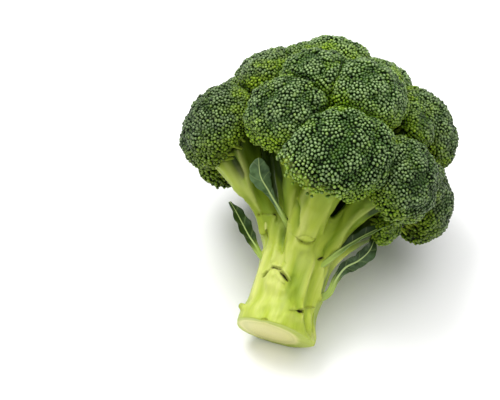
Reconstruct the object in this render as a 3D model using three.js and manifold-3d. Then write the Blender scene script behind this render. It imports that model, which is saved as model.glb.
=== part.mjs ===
// A fresh head of broccoli, cut off its plant and laid on its side: a thick pale stalk that divides into
// branches, a crown of tight bud heads (florets) pressed against each other, and four small leaves.
// Millimetres and degrees. The head is modelled upright in its own frame: the middle of the cut is at the
// origin, the stalk grows along +Z, and +Y is the side that it lies on. layDown() then tips it on to the
// floor, z = 0, where it rests on two florets and on the rim of the cut.
import * as THREE from 'three';
import { ConvexHull } from 'three/addons/math/ConvexHull.js';
import { mergeVertices } from 'three/addons/utils/BufferGeometryUtils.js';
import Module from 'manifold-3d';

// ---- Driving dimensions ----
const CROWN_WIDTH = 164;
const CUT_WIDTH = 43;
const CROWN_RADIUS = CROWN_WIDTH / 2;
const STALK_RADIUS = CUT_WIDTH / 2;

const LYING_RISE = 28; // the stalk's slope above the floor, from the cut up to the crown
const LYING_TURN = 14.4; // how far the head is turned about its own stalk as it lies
const CUT_PLACE = new THREE.Vector3(4.12, -76.74, 18.3); // where the middle of the cut comes to lie

const HUB = new THREE.Vector3(-0.05, 0, 1.195).multiplyScalar(CROWN_RADIUS); // middle of the crown
const FORK = new THREE.Vector3(0, 0, 0.59).multiplyScalar(CROWN_RADIUS); // where the branches part

const GAP = 0.3; // clear space between neighbouring pieces
const FLATTENED = 1.8; // how much of a bud knob the floor presses flat where the head rests

// ---- Florets: low domes, each covered in clusters of buds that stand out as six-sided knobs ----
const FLATNESS = 0.8; // a floret's depth from middle to top, as a share of its half width
const UNDERSIDE = 0.55; // how far its underside is drawn in
const BUDS_END = 122; // the buds stop at this angle from the way the floret grows
const FROM_FORK = 0.35; // a floret grows this much away from the fork, and otherwise from the hub
const KNOB_PITCH = 8.2;
const KNOB_HEIGHT = 1.5;
const HIDDEN_PITCH = 19; // spacing of the mesh where a floret meets its neighbours
const CREASE_SOFTNESS = 1.5; // rounding of a floret's edge into the crease beside it

// Each floret: its turn about the stalk (0 is +X, 90 the side it lies on), its tilt from the stalk's
// direction, its reach from the hub to its top and its half width, both as shares of the crown's radius.
// A floret with no reach is one that the head rests on, so its reach is what meets the floor. Its branch
// leaves the stalk at the turn and the share of the stalk's radius in `root`, with `thick` its radius as
// a share of the floret's half width. A floret with `wide` is that much wider than high, with its long
// way turned up by `lean`.
const FLORETS = [
  {
    name: 'floret_front', turn: 276, tilt: 99, reach: 0.98, size: 0.347, root: [264, 1], thick: 0.36,
    wide: 1.17, lean: 22,
  },
  { name: 'floret_front_left', turn: 244, tilt: 85, reach: 0.93, size: 0.3, root: [232, 0.7], thick: 0.24 },
  { name: 'floret_front_right', turn: 314, tilt: 97, reach: 0.965, size: 0.3, root: [314, 0.9], thick: 0.3 },
  { name: 'floret_left', turn: 197, tilt: 92, reach: 0.985, size: 0.325, root: [207, 1], thick: 0.22 },
  { name: 'floret_upper_left', turn: 157, tilt: 58, reach: 0.94, size: 0.315, root: [175, 0.7] },
  { name: 'floret_top', turn: 204, tilt: 9, reach: 0.92, size: 0.325, root: [204, 0.2], thick: 0.3 },
  { name: 'floret_upper_right', turn: 16, tilt: 22, reach: 0.935, size: 0.32, root: [10, 0.3], thick: 0.3 },
  { name: 'floret_upper_front', turn: 282, tilt: 60, reach: 0.93, size: 0.31, root: [285, 0.5] },
  { name: 'floret_upper_middle', turn: 251, tilt: 58, reach: 0.905, size: 0.27, root: [250, 0.4] },
  { name: 'floret_upper_side', turn: 172, tilt: 44, reach: 0.92, size: 0.3, root: [185, 0.5] },
  { name: 'floret_right', turn: 352, tilt: 54, reach: 0.985, size: 0.33, root: [345, 0.9] },
  { name: 'floret_lower_right', turn: 10, tilt: 90, reach: 1.0, size: 0.285, root: [0, 1] },
  { name: 'floret_small', turn: 341, tilt: 119, reach: 0.76, size: 0.15, root: [342, 0.9], thick: 0.3 },
  { name: 'floret_under_right', turn: 49, tilt: 81, size: 0.355, root: [50, 0.95] },
  { name: 'floret_under_left', turn: 102, tilt: 81, size: 0.355, root: [104, 1] },
  { name: 'floret_back_left', turn: 149, tilt: 84, reach: 0.97, size: 0.345, root: [150, 1] },
  { name: 'floret_back_top', turn: 106, tilt: 39, reach: 0.94, size: 0.36, root: [100, 0.6], thick: 0.3 },
  { name: 'floret_back_right', turn: 34, tilt: 51, reach: 0.97, size: 0.34, root: [38, 0.7] },
  { name: 'floret_back_middle', turn: 72, tilt: 54, reach: 0.90, size: 0.26, root: [72, 0.7] },
  { name: 'floret_inner_left', turn: 211, tilt: 57, reach: 0.87, size: 0.22, root: [211, 0.4] },
  { name: 'floret_inner_top', turn: 221, tilt: 37, reach: 0.86, size: 0.18, root: [221, 0.2] },
  { name: 'floret_inner_front', turn: 303, tilt: 34, reach: 0.86, size: 0.185, root: [303, 0.2] },
  { name: 'floret_inner_right', turn: 320, tilt: 63, reach: 0.87, size: 0.19, root: [320, 0.5] },
  { name: 'floret_inner_side', turn: 343, tilt: 85, reach: 0.88, size: 0.15, root: [345, 0.7] },
];

const COLOURS = { bud: 0x47683c, stalk: 0xb4c75c, leaf: 0x4f7350 };

const wasm = await Module();
wasm.setup();

// ---- Helpers ----
const rad = THREE.MathUtils.degToRad;
const smooth = THREE.MathUtils.smoothstep;

/** Unit vector at a turn about +Z and a tilt away from it. */
function heading(turn, tilt) {
  return new THREE.Vector3(
    Math.sin(rad(tilt)) * Math.cos(rad(turn)),
    Math.sin(rad(tilt)) * Math.sin(rad(turn)),
    Math.cos(rad(tilt)),
  );
}

/** A closed three.js geometry as a solid that can be joined and cut. */
function solid(geometry) {
  const bare = geometry.index ? geometry.toNonIndexed() : geometry.clone();
  const points = new THREE.BufferGeometry().setAttribute('position', bare.getAttribute('position'));
  const merged = mergeVertices(points, 1e-4);
  return new wasm.Manifold(new wasm.Mesh({
    numProp: 3,
    vertProperties: merged.attributes.position.array,
    triVerts: new Uint32Array(merged.index.array),
  }));
}

/** The largest body of a solid, as a geometry. */
function geometryOf(body) {
  const bodies = body.decompose().sort((a, b) => b.volume() - a.volume());
  const mesh = bodies[0].getMesh();
  const geometry = new THREE.BufferGeometry();
  geometry.setAttribute('position', new THREE.BufferAttribute(mesh.vertProperties, 3));
  geometry.setIndex(new THREE.BufferAttribute(mesh.triVerts, 1));
  geometry.computeVertexNormals();
  return geometry;
}

function material(colour, roughness) {
  return new THREE.MeshStandardMaterial({ color: colour, roughness, metalness: 0 });
}

// ---- Lying on the floor ----
const lying = new THREE.Group();
lying.rotation.set(rad(LYING_RISE - 90), 0, rad(LYING_TURN), 'XYZ');
lying.position.copy(CUT_PLACE);
lying.updateMatrix();

/** The floor as a plane in the head's own frame. */
const floor = new THREE.Plane(new THREE.Vector3(0, 0, 1), 0)
  .applyMatrix4(lying.matrix.clone().invert());

/** A slab that fills the space under the floor, for trimming what is pressed flat. */
function underFloor() {
  const side = 4 * CROWN_WIDTH;
  const slab = new THREE.BoxGeometry(side, side, CROWN_WIDTH).translate(0, 0, -CROWN_WIDTH / 2);
  return solid(slab.applyMatrix4(lying.matrix.clone().invert()));
}

// ---- Florets ----
/** Gives each floret its middle, its half width and the way it grows. */
function placeFlorets() {
  return FLORETS.map((given) => {
    const { name, turn, tilt, reach, size, root = [turn, 0.8], thick = 0.26, wide = 1, lean = 0 } = given;
    const radius = size * CROWN_RADIUS;
    const out = heading(turn, tilt);
    const floret = { name, radius, root, thick: thick * radius, wide, lean, middle: new THREE.Vector3() };
    const settle = (distance) => {
      floret.middle.copy(HUB).addScaledVector(out, distance);
      const away = floret.middle.clone().sub(FORK).normalize();
      floret.grows = out.clone().lerp(away, FROM_FORK).normalize();
    };
    settle((reach ?? 1) * CROWN_RADIUS - FLATNESS * radius);
    for (let i = 0; i < 8 && reach === undefined; i += 1) {
      const down = Math.abs(floret.grows.dot(floor.normal));
      const low = radius * Math.hypot(FLATNESS * down, Math.sqrt(1 - down ** 2));
      settle((low - FLATTENED - floor.distanceToPoint(HUB)) / floor.normal.dot(out));
    }
    const level = new THREE.Vector3(0, 0, 1).cross(floret.grows).normalize();
    floret.long = level.applyAxisAngle(floret.grows, rad(lean));
    floret.short = floret.grows.clone().cross(floret.long);
    return floret;
  });
}

/** Directions that spread evenly over a floret at a given spacing, along a golden spiral. */
function spiral(floret, pitch) {
  const count = Math.ceil(4 * Math.PI * floret.radius ** 2 / (Math.sqrt(3) / 2 * pitch ** 2));
  const golden = Math.PI * (3 - Math.sqrt(5));
  const turned = new THREE.Quaternion().setFromUnitVectors(new THREE.Vector3(0, 0, 1), floret.grows);
  return Array.from({ length: count }, (_, i) => {
    const height = 1 - (2 * i + 1) / count;
    const across = Math.sqrt(1 - height ** 2);
    return new THREE.Vector3(across * Math.cos(golden * i), across * Math.sin(golden * i), FLATNESS * height)
      .normalize().applyQuaternion(turned);
  });
}

/** Distance from a floret's middle to the surface of its dome, as if it had no neighbours. */
function domeOf(floret, direction) {
  const angle = direction.angleTo(floret.grows);
  const long = direction.dot(floret.long) / floret.wide;
  const short = direction.dot(floret.short) * Math.sqrt(floret.wide);
  const dome = floret.radius / Math.hypot(Math.cos(angle) / FLATNESS, long, short);
  return dome * (1 - (1 - UNDERSIDE) * smooth(THREE.MathUtils.radToDeg(angle), 85, 165));
}

/** The same distance once its neighbours press on it, rounded where it turns into a crease. */
function reachOf(floret, others, direction, raised) {
  let sum = Math.exp(-(domeOf(floret, direction) + raised) / CREASE_SOFTNESS);
  for (const other of others) {
    const way = other.middle.clone().sub(floret.middle);
    const apart = way.length();
    const facing = direction.dot(way) / apart;
    if (facing <= 0) continue;
    const wall = (apart ** 2 + floret.radius ** 2 - other.radius ** 2) / (2 * apart) - GAP / 2;
    sum += Math.exp(-wall / facing / CREASE_SOFTNESS);
  }
  return -CREASE_SOFTNESS * Math.log(sum);
}

/** A floret's knobs stand this far apart: closer on one too small for full-sized knobs. */
function knobPitch(floret) {
  return Math.min(KNOB_PITCH, 0.5 * floret.radius);
}

/** Directions of a floret's cells: knobs where its buds show, and a few wide cells elsewhere. */
function cellsOf(floret, others) {
  const shows = (d) => reachOf(floret, others, d, 0) > 0.87 * domeOf(floret, d)
    && d.angleTo(floret.grows) < rad(BUDS_END);
  const pitch = knobPitch(floret);
  const knobs = spiral(floret, pitch).filter(shows);
  const spacing = HIDDEN_PITCH / KNOB_PITCH * pitch;
  const clear = Math.cos(0.72 * spacing / floret.radius);
  const wide = spiral(floret, spacing)
    .filter((d) => !shows(d) && Math.max(...knobs.map((k) => k.dot(d))) < clear);
  return [...knobs.map((d) => [d, KNOB_HEIGHT]), ...wide.map((d) => [d, 0])];
}

/** Joins each cell's centre to the corners it shares with the cells around it, as a closed mesh. */
function cellMesh(cells, surface) {
  const centres = cells.map(([direction]) => direction);
  const index = new Map(centres.map((direction, i) => [direction, i]));
  const positions = cells.map(([direction, raised]) => surface(direction, raised));
  const faceOfEdge = new Map();
  const key = (a, b) => a * centres.length + b;
  const hull = new ConvexHull().setFromPoints(centres);
  const faces = hull.faces.map((face, i) => {
    const corners = [face.edge, face.edge.next, face.edge.next.next].map((e) => index.get(e.head().point));
    corners.forEach((a, k) => faceOfEdge.set(key(a, corners[(k + 1) % 3]), i));
    positions.push(surface(face.normal.clone(), 0));
    return corners;
  });
  const triangles = faces.flatMap((corners, i) => corners.map((a, k) => {
    const next = faceOfEdge.get(key(a, corners[(k + 2) % 3]));
    return [a, centres.length + i, centres.length + next];
  }));
  const geometry = new THREE.BufferGeometry().setFromPoints(positions);
  geometry.setIndex(triangles.flat());
  return geometry;
}

/** One floret: a dome of bud knobs, flat-sided where it presses on its neighbours. */
function floretSolid(floret, others) {
  const surface = (direction, raised) => floret.middle.clone()
    .addScaledVector(direction, reachOf(floret, others, direction, raised - KNOB_HEIGHT));
  return solid(cellMesh(cellsOf(floret, others), surface));
}

/** The space that a floret needs: the same cells a gap further out, with no neighbours pressing. */
function floretSpace(floret, others) {
  const surface = (direction, raised) => floret.middle.clone()
    .addScaledVector(direction, domeOf(floret, direction) + raised - KNOB_HEIGHT + GAP);
  return solid(cellMesh(cellsOf(floret, others), surface));
}

// ---- Stalk and branches ----
const STALK_TALL = 80;
const CUT_SLANT = 5; // the cut isn't square: it rises this much from the side that the head lies on
const SLANT_ENDS = 24; // the height where the slant has faded out
const STALK_RINGS = 14;
const STALK_SIDES = 26;
const BRANCH_SIDES = 8;
const BRANCH_STEPS = 6;
const FLARE = 0.5; // how wide a branch spreads under its floret, as a share of the floret's half width
const SEAT = 0.36; // how deep in the floret a branch's end lies, as a share of the floret's half width

// Stubs left where leaf stalks were trimmed: turn about the stalk, height, half width and how far they
// stand out.
const LEAF_SCARS = [
  { turn: 243, height: 28, wide: 8, proud: 1.8 },
  { turn: 288, height: 13, wide: 7, proud: 1.8 },
  { turn: 200, height: 6, wide: 4, proud: 2.4 },
  { turn: 345, height: 25, wide: 5, proud: 1.8 },
  { turn: 272, height: 48, wide: 7, proud: 1.4 },
  { turn: 120, height: 20, wide: 8, proud: 1.8 },
  { turn: 60, height: 36, wide: 8, proud: 1.8 },
];

/** The stalk's radius at a height and a turn: waisted, fluted and knuckled at the leaf scars. */
function stalkRadius(height, turn) {
  const waist = 1 - 0.13 * smooth(height, 0, 17) + 0.10 * smooth(height, 32, 54);
  const top = Math.sqrt(1 - 0.98 * smooth(height, 58, STALK_TALL) ** 2);
  const dome = (1 - 0.5 * smooth(height, 38, 66)) * top;
  const flutes = 1 + 0.03 * Math.cos(rad(5 * turn + 40)) + 0.02 * Math.cos(rad(3 * turn - 25));
  const knuckles = LEAF_SCARS.reduce((sum, scar) => {
    const around = rad(((turn - scar.turn + 900) % 360) - 180) * STALK_RADIUS;
    const along = height - scar.height;
    return sum + scar.proud * Math.exp(-((around / scar.wide) ** 2) - (along / (0.5 * scar.wide)) ** 2);
  }, 0);
  return STALK_RADIUS * waist * dome * flutes + knuckles;
}

/** The main stalk, from the flat cut up to the fork. */
function stalkSolid(margin) {
  const geometry = new THREE.CylinderGeometry(1, 1, STALK_TALL, STALK_SIDES, STALK_RINGS);
  geometry.rotateX(Math.PI / 2).translate(0, 0, STALK_TALL / 2);
  const points = geometry.attributes.position;
  const point = new THREE.Vector3();
  for (let i = 0; i < points.count; i += 1) {
    point.fromBufferAttribute(points, i);
    const turn = THREE.MathUtils.radToDeg(Math.atan2(point.y, point.x));
    const across = Math.hypot(point.x, point.y) * (stalkRadius(point.z, turn) + margin);
    const y = across * Math.sin(rad(turn));
    const slant = Math.tan(rad(CUT_SLANT)) * (STALK_RADIUS - y) * (1 - smooth(point.z, 0, SLANT_ENDS));
    points.setXYZ(i, across * Math.cos(rad(turn)), y, point.z + slant);
  }
  return solid(geometry);
}

/** A limb of round section along a curve, its radius given by a function of the way along. */
function limb(curve, radiusAt, sides, steps) {
  const geometry = new THREE.CylinderGeometry(1, 1, 1, sides, steps);
  const points = geometry.attributes.position;
  const frames = curve.computeFrenetFrames(steps, false);
  for (let i = 0; i < points.count; i += 1) {
    const along = THREE.MathUtils.clamp(points.getY(i) + 0.5, 0, 1);
    const step = Math.round(along * steps);
    const radius = radiusAt(along);
    const place = curve.getPointAt(along)
      .addScaledVector(frames.normals[step], radius * points.getX(i))
      .addScaledVector(frames.binormals[step], -radius * points.getZ(i));
    points.setXYZ(i, place.x, place.y, place.z);
  }
  return solid(geometry);
}

/** A branch: it starts as a rib in the stalk, leaves it at the fork and spreads under its floret. */
function branchSolid(floret, margin) {
  const [turn, share] = floret.root;
  const root = heading(turn, 90).multiplyScalar(share * (STALK_RADIUS - floret.thick));
  const end = floret.middle.clone().addScaledVector(floret.grows, -SEAT * floret.radius);
  const parts = root.clone().setZ(FORK.z);
  const curve = new THREE.CatmullRomCurve3([
    root.clone().multiplyScalar(0.8).setZ(0.4 * FORK.z),
    parts,
    parts.clone().lerp(end, 0.5).add(new THREE.Vector3(0, 0, 2)),
    end,
  ]);
  const spread = Math.max(0, FLARE * floret.radius - floret.thick);
  const radiusAt = (along) => margin + floret.thick * (0.8 + 0.2 * smooth(along, 0, 0.3)
    - 0.1 * smooth(along, 0.3, 0.6)) + spread * smooth(along, 0.62, 1) ** 1.5;
  return limb(curve, radiusAt, BRANCH_SIDES, BRANCH_STEPS);
}

/** Stalk and branches joined into one body. */
function stalkAndBranches(florets, margin = 0) {
  return florets.reduce((body, floret) => body.add(branchSolid(floret, margin)), stalkSolid(margin));
}

// ---- Leaves ----
const LEAF_STEPS = 13;
const LEAF_HALF = 2; // cells on each side of the midrib
const BLADE_THICK = 0.9;

// Each leaf: the points its midrib follows, its half width at even steps from root to tip, the side its
// upper face looks to, how much its edges cup up, and the height and number of the waves along them.
const LEAVES = [
  {
    name: 'leaf_spoon',
    rib: [
      [-9, -14, 55], [-14, -20, 58], [-19.5, -24.5, 62],
      [-26, -28.5, 67], [-32.5, -31.5, 72.5], [-36.5, -34, 81],
    ],
    half: [1.6, 1.5, 1.3, 1.3, 1.5, 3.6, 5.4, 5.0, 1.6],
    faces: [-0.1, -1, 0.1], cup: 0.12, wave: 0.3, waves: 3,
  },
  {
    name: 'leaf_left',
    rib: [[-15, -5, 35], [-21, -6.5, 39], [-27, -8, 44], [-33.5, -10, 50], [-39, -12, 55], [-44, -14, 59]],
    half: [2.0, 1.8, 1.8, 2.8, 3.8, 4.2, 3.6, 2.4, 0.8],
    faces: [0.35, -0.9, 0.45], cup: 0.3, wave: 0.5, waves: 5,
  },
  {
    name: 'leaf_right',
    rib: [[11, -10, 39], [15.5, -14, 45], [21, -17, 52.5], [26.5, -20, 59], [33, -22, 65.5], [43, -24, 74]],
    half: [2.2, 2.0, 1.8, 2.4, 3.2, 3.4, 3.0, 2.0, 0.8],
    faces: [-0.2, -0.75, 0.65], cup: 0.45, wave: 0.5, waves: 5,
  },
  {
    name: 'leaf_low',
    rib: [
      [16, -4, 25], [21, -5, 30], [22.5, -7, 38.5], [25.5, -9, 45.5],
      [31, -10.5, 51], [35, -10.5, 58], [36, -9, 68],
    ],
    half: [2.2, 2.0, 1.8, 2.2, 3.2, 4.6, 5.4, 4.4, 1.0],
    faces: [0.3, -0.95, -0.1], cup: 0.3, wave: 1.0, waves: 3,
  },
];

/** A leaf's surface: a grid over its length and width, moved half a thickness to one face. */
function bladePoint(leaf, curve, step, across, face) {
  const along = step / LEAF_STEPS;
  const middle = curve.getPointAt(along);
  const ahead = curve.getTangentAt(along);
  const side = ahead.clone().cross(new THREE.Vector3(...leaf.faces)).normalize();
  const up = side.clone().cross(ahead).normalize();
  const scaled = along * (leaf.half.length - 1);
  const low = Math.min(Math.floor(scaled), leaf.half.length - 2);
  const width = THREE.MathUtils.lerp(leaf.half[low], leaf.half[low + 1], scaled - low);
  const share = across / LEAF_HALF;
  const blade = smooth(along, 0.25, 0.5);
  const ripple = leaf.wave * Math.sin(2 * Math.PI * leaf.waves * along) * Math.abs(share) ** 2 * blade;
  const lift = leaf.cup * width * share ** 2 + ripple;
  const thick = BLADE_THICK / 2 + (1 - blade) * 0.6 * (1 - share ** 2);
  return middle.addScaledVector(side, share * width).addScaledVector(up, lift + face * thick);
}

/** A thin arched blade on its leaf stalk, as one closed sheet. */
function leafSolid(leaf) {
  const curve = new THREE.CatmullRomCurve3(leaf.rib.map((p) => new THREE.Vector3(...p)));
  const columns = 2 * LEAF_HALF + 1;
  const points = [];
  for (const face of [1, -1]) {
    for (let step = 0; step <= LEAF_STEPS; step += 1) {
      for (let across = -LEAF_HALF; across <= LEAF_HALF; across += 1) {
        points.push(bladePoint(leaf, curve, step, across, face));
      }
    }
  }
  const at = (face, step, column) => (face * (LEAF_STEPS + 1) + step) * columns + column;
  const triangles = [];
  const quad = (a, b, c, d) => triangles.push(a, b, c, a, c, d);
  for (let step = 0; step < LEAF_STEPS; step += 1) {
    for (let column = 0; column < columns - 1; column += 1) {
      quad(at(0, step, column), at(0, step, column + 1), at(0, step + 1, column + 1), at(0, step + 1, column));
      quad(at(1, step, column), at(1, step + 1, column), at(1, step + 1, column + 1), at(1, step, column + 1));
    }
    quad(at(0, step + 1, 0), at(1, step + 1, 0), at(1, step, 0), at(0, step, 0));
    const last = columns - 1;
    quad(at(0, step, last), at(1, step, last), at(1, step + 1, last), at(0, step + 1, last));
  }
  for (let column = 0; column < columns - 1; column += 1) {
    quad(at(0, 0, column), at(1, 0, column), at(1, 0, column + 1), at(0, 0, column + 1));
    const tip = LEAF_STEPS;
    quad(at(0, tip, column + 1), at(1, tip, column + 1), at(1, tip, column), at(0, tip, column));
  }
  const geometry = new THREE.BufferGeometry().setFromPoints(points);
  geometry.setIndex(triangles);
  const made = solid(geometry);
  return made.volume() > 0 ? made : solid(flipped(geometry));
}

/** The same mesh with every face turned round. */
function flipped(geometry) {
  const index = geometry.index.array;
  for (let i = 0; i < index.length; i += 3) [index[i], index[i + 1]] = [index[i + 1], index[i]];
  return geometry;
}

// ---- The whole head ----
function add(name, body, finish) {
  const mesh = new THREE.Mesh(geometryOf(body), finish);
  mesh.name = name;
  lying.add(mesh);
}

const florets = placeFlorets();
const othersOf = (floret) => florets.filter((other) => other !== floret
  && other.middle.distanceTo(floret.middle)
    < other.wide * other.radius + floret.wide * floret.radius + 2 * CREASE_SOFTNESS);
const slab = underFloor();

const budFinish = material(COLOURS.bud, 0.6);
const spaces = [];
for (const floret of florets) {
  const others = othersOf(floret);
  add(floret.name, floretSolid(floret, others).subtract(slab), budFinish);
  spaces.push(floretSpace(floret, others));
}
const crown = wasm.Manifold.union(spaces);
add('stalk', stalkAndBranches(florets).subtract(crown).subtract(slab), material(COLOURS.stalk, 0.45));

const taken = stalkAndBranches(florets, GAP).add(crown);
const leafFinish = material(COLOURS.leaf, 0.5);
for (const leaf of LEAVES) add(leaf.name, leafSolid(leaf).subtract(taken), leafFinish);

const head = new THREE.Group();
head.add(lying);
export default head;
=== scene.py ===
"""Dresses a fresh head of broccoli that lies on its side.

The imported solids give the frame. Each floret becomes a dome packed with closed buds, the stalk and its
branches become one smooth fluted body with leaf scars and a clean cut, and the leaves get ribs and veins.
Sizes are in millimetres in the head's own frame: the middle of the cut at the origin, the stalk along +Z,
+Y the side it lies on. HeadPlan turns them to metres in the row's frame.
"""

from __future__ import annotations

import logging
import math
from contextlib import contextmanager
from dataclasses import dataclass, field
from enum import Enum
from functools import partial
from typing import Callable, Iterable, Iterator

import bpy
import numpy as np
from mathutils import Euler, Matrix, Vector, noise

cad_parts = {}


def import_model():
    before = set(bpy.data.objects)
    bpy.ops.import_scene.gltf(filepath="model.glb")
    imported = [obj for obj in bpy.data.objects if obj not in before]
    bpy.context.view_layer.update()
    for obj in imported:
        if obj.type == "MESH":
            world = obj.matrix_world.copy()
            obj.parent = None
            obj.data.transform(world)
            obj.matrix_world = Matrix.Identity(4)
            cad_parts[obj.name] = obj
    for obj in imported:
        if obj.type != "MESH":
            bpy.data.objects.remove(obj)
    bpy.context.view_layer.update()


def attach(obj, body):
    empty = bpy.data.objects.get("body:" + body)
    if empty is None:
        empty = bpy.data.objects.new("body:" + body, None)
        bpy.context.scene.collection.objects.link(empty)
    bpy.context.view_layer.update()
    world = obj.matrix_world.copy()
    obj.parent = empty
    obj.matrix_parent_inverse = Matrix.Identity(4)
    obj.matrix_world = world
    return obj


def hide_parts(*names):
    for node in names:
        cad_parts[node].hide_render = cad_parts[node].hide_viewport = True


LOG = logging.getLogger("broccoli")

Array = np.ndarray
Piece = bpy.types.Object
Spot = tuple[float, float, float]

METRES = 0.001
# The head's main sizes, the slant of its cut, and how the head lies on the floor.
CROWN_RADIUS = 82.0
STALK_RADIUS = 21.5
STALK_TALL = 80.0
CUT_SLANT = math.radians(5)
CUT_DROP = math.tan(CUT_SLANT) * STALK_RADIUS
SLANT_ENDS = 24.0
LYING_RISE = 28.0
LYING_TURN = 14.4
CUT_PLACE = np.array((4.12, -76.74, 18.3))
# Where the florets' reaches are measured from, and where the branches part.
HUB = np.array((-0.05, 0.0, 1.195)) * CROWN_RADIUS
FORK = np.array((0.0, 0.0, 0.59)) * CROWN_RADIUS
# A dome's height and underside as shares of its half width, and how far it leans away from the fork.
FLATNESS = 0.8
UNDERSIDE = 0.55
FROM_FORK = 0.35
# How flat a floret is pressed by the floor, the gap between two florets and how softly they meet.
FLATTENED = 1.8
GAP = 0.3
CREASE_SOFTNESS = 1.5
# How wide a branch flares under its floret and how deep it is seated, as shares of the half width.
FLARE = 0.5
SEAT = 0.36
# Small lifts that keep stems, hearts and buds off the table, in millimetres.
STEM_CLEAR = 0.2
BUD_CLEAR = 0.15


class Slot(Enum):
    """The record's material slots."""

    STALK = "stalk"
    FLORET = "floret"
    LEAF = "leaf"


# ---- Small helpers ----


def linear(code: str) -> tuple[float, float, float, float]:
    """Turns an sRGB hex colour to linear.

    Args:
        code: Six hex digits.

    Returns:
        Linear red, green, blue and an alpha of 1.
    """
    channels = [int(code[i : i + 2], 16) / 255 for i in (0, 2, 4)]
    return (*[c / 12.92 if c <= 0.04045 else ((c + 0.055) / 1.055) ** 2.4 for c in channels], 1.0)


def smooth(value: Array | float, low: float, high: float) -> Array:
    """Rises smoothly from 0 at low to 1 at high."""
    share = np.clip((np.asarray(value, float) - low) / (high - low), 0, 1)
    return share * share * (3 - 2 * share)


def unit(vectors: Array) -> Array:
    """Each vector at length 1."""
    return vectors / np.maximum(np.linalg.norm(vectors, axis=-1, keepdims=True), 1e-12)


def heading(turn: float, tilt: float) -> Array:
    """Unit vector at a turn about +Z and a tilt away from it, in degrees."""
    turn, tilt = math.radians(turn), math.radians(tilt)
    return np.array((math.sin(tilt) * math.cos(turn), math.sin(tilt) * math.sin(turn), math.cos(tilt)))


def polar(points: Array) -> tuple[Array, Array, Array]:
    """A round primitive's points as the way along its axis, the turn about it and the distance from it."""
    return points[:, 2], np.arctan2(points[:, 1], points[:, 0]), np.hypot(points[:, 0], points[:, 1])


def patches(points: Array, size: float, seed: float = 0.0) -> Array:
    """Smooth random values from -1 to 1 that vary over a given size, one for each point."""
    return np.array([noise.noise(Vector(p) / size + Vector((seed, -seed, 2 * seed))) for p in points])


def feed(node: bpy.types.Node, inputs: dict) -> bpy.types.Node:
    """Gives inputs of a node their values, or links them to what feeds them.

    Args:
        node: The node.
        inputs: Input name or index to a value, an output socket, or a node whose first output in use feeds it.

    Returns:
        The same node.
    """
    for name, value in inputs.items():
        if isinstance(value, bpy.types.Node):
            value = next(socket for socket in value.outputs if socket.enabled)
        if isinstance(value, bpy.types.NodeSocket):
            node.id_data.links.new(value, node.inputs[name])
        else:
            node.inputs[name].default_value = value
    return node


def add_node(
    tree: bpy.types.NodeTree, kind: str, inputs: dict | None = None, stops: dict | None = None, **settings
) -> bpy.types.Node:
    """Adds one shader node.

    Args:
        tree: The node tree to add it to.
        kind: The node's type, without ShaderNode before it.
        inputs: What its inputs get, as `feed` takes it.
        stops: Places to hex colours, for a colour ramp.
        **settings: Attributes to set on the node.

    Returns:
        The new node.
    """
    node = tree.nodes.new("ShaderNode" + kind)
    for name, value in settings.items():
        setattr(node, name, value)
    for number, (place, code) in enumerate((stops or {}).items()):
        band = node.color_ramp.elements
        element = band[number] if number < len(band) else band.new(1.0)
        element.position, element.color = place, linear(code)
    return feed(node, inputs or {})


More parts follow.
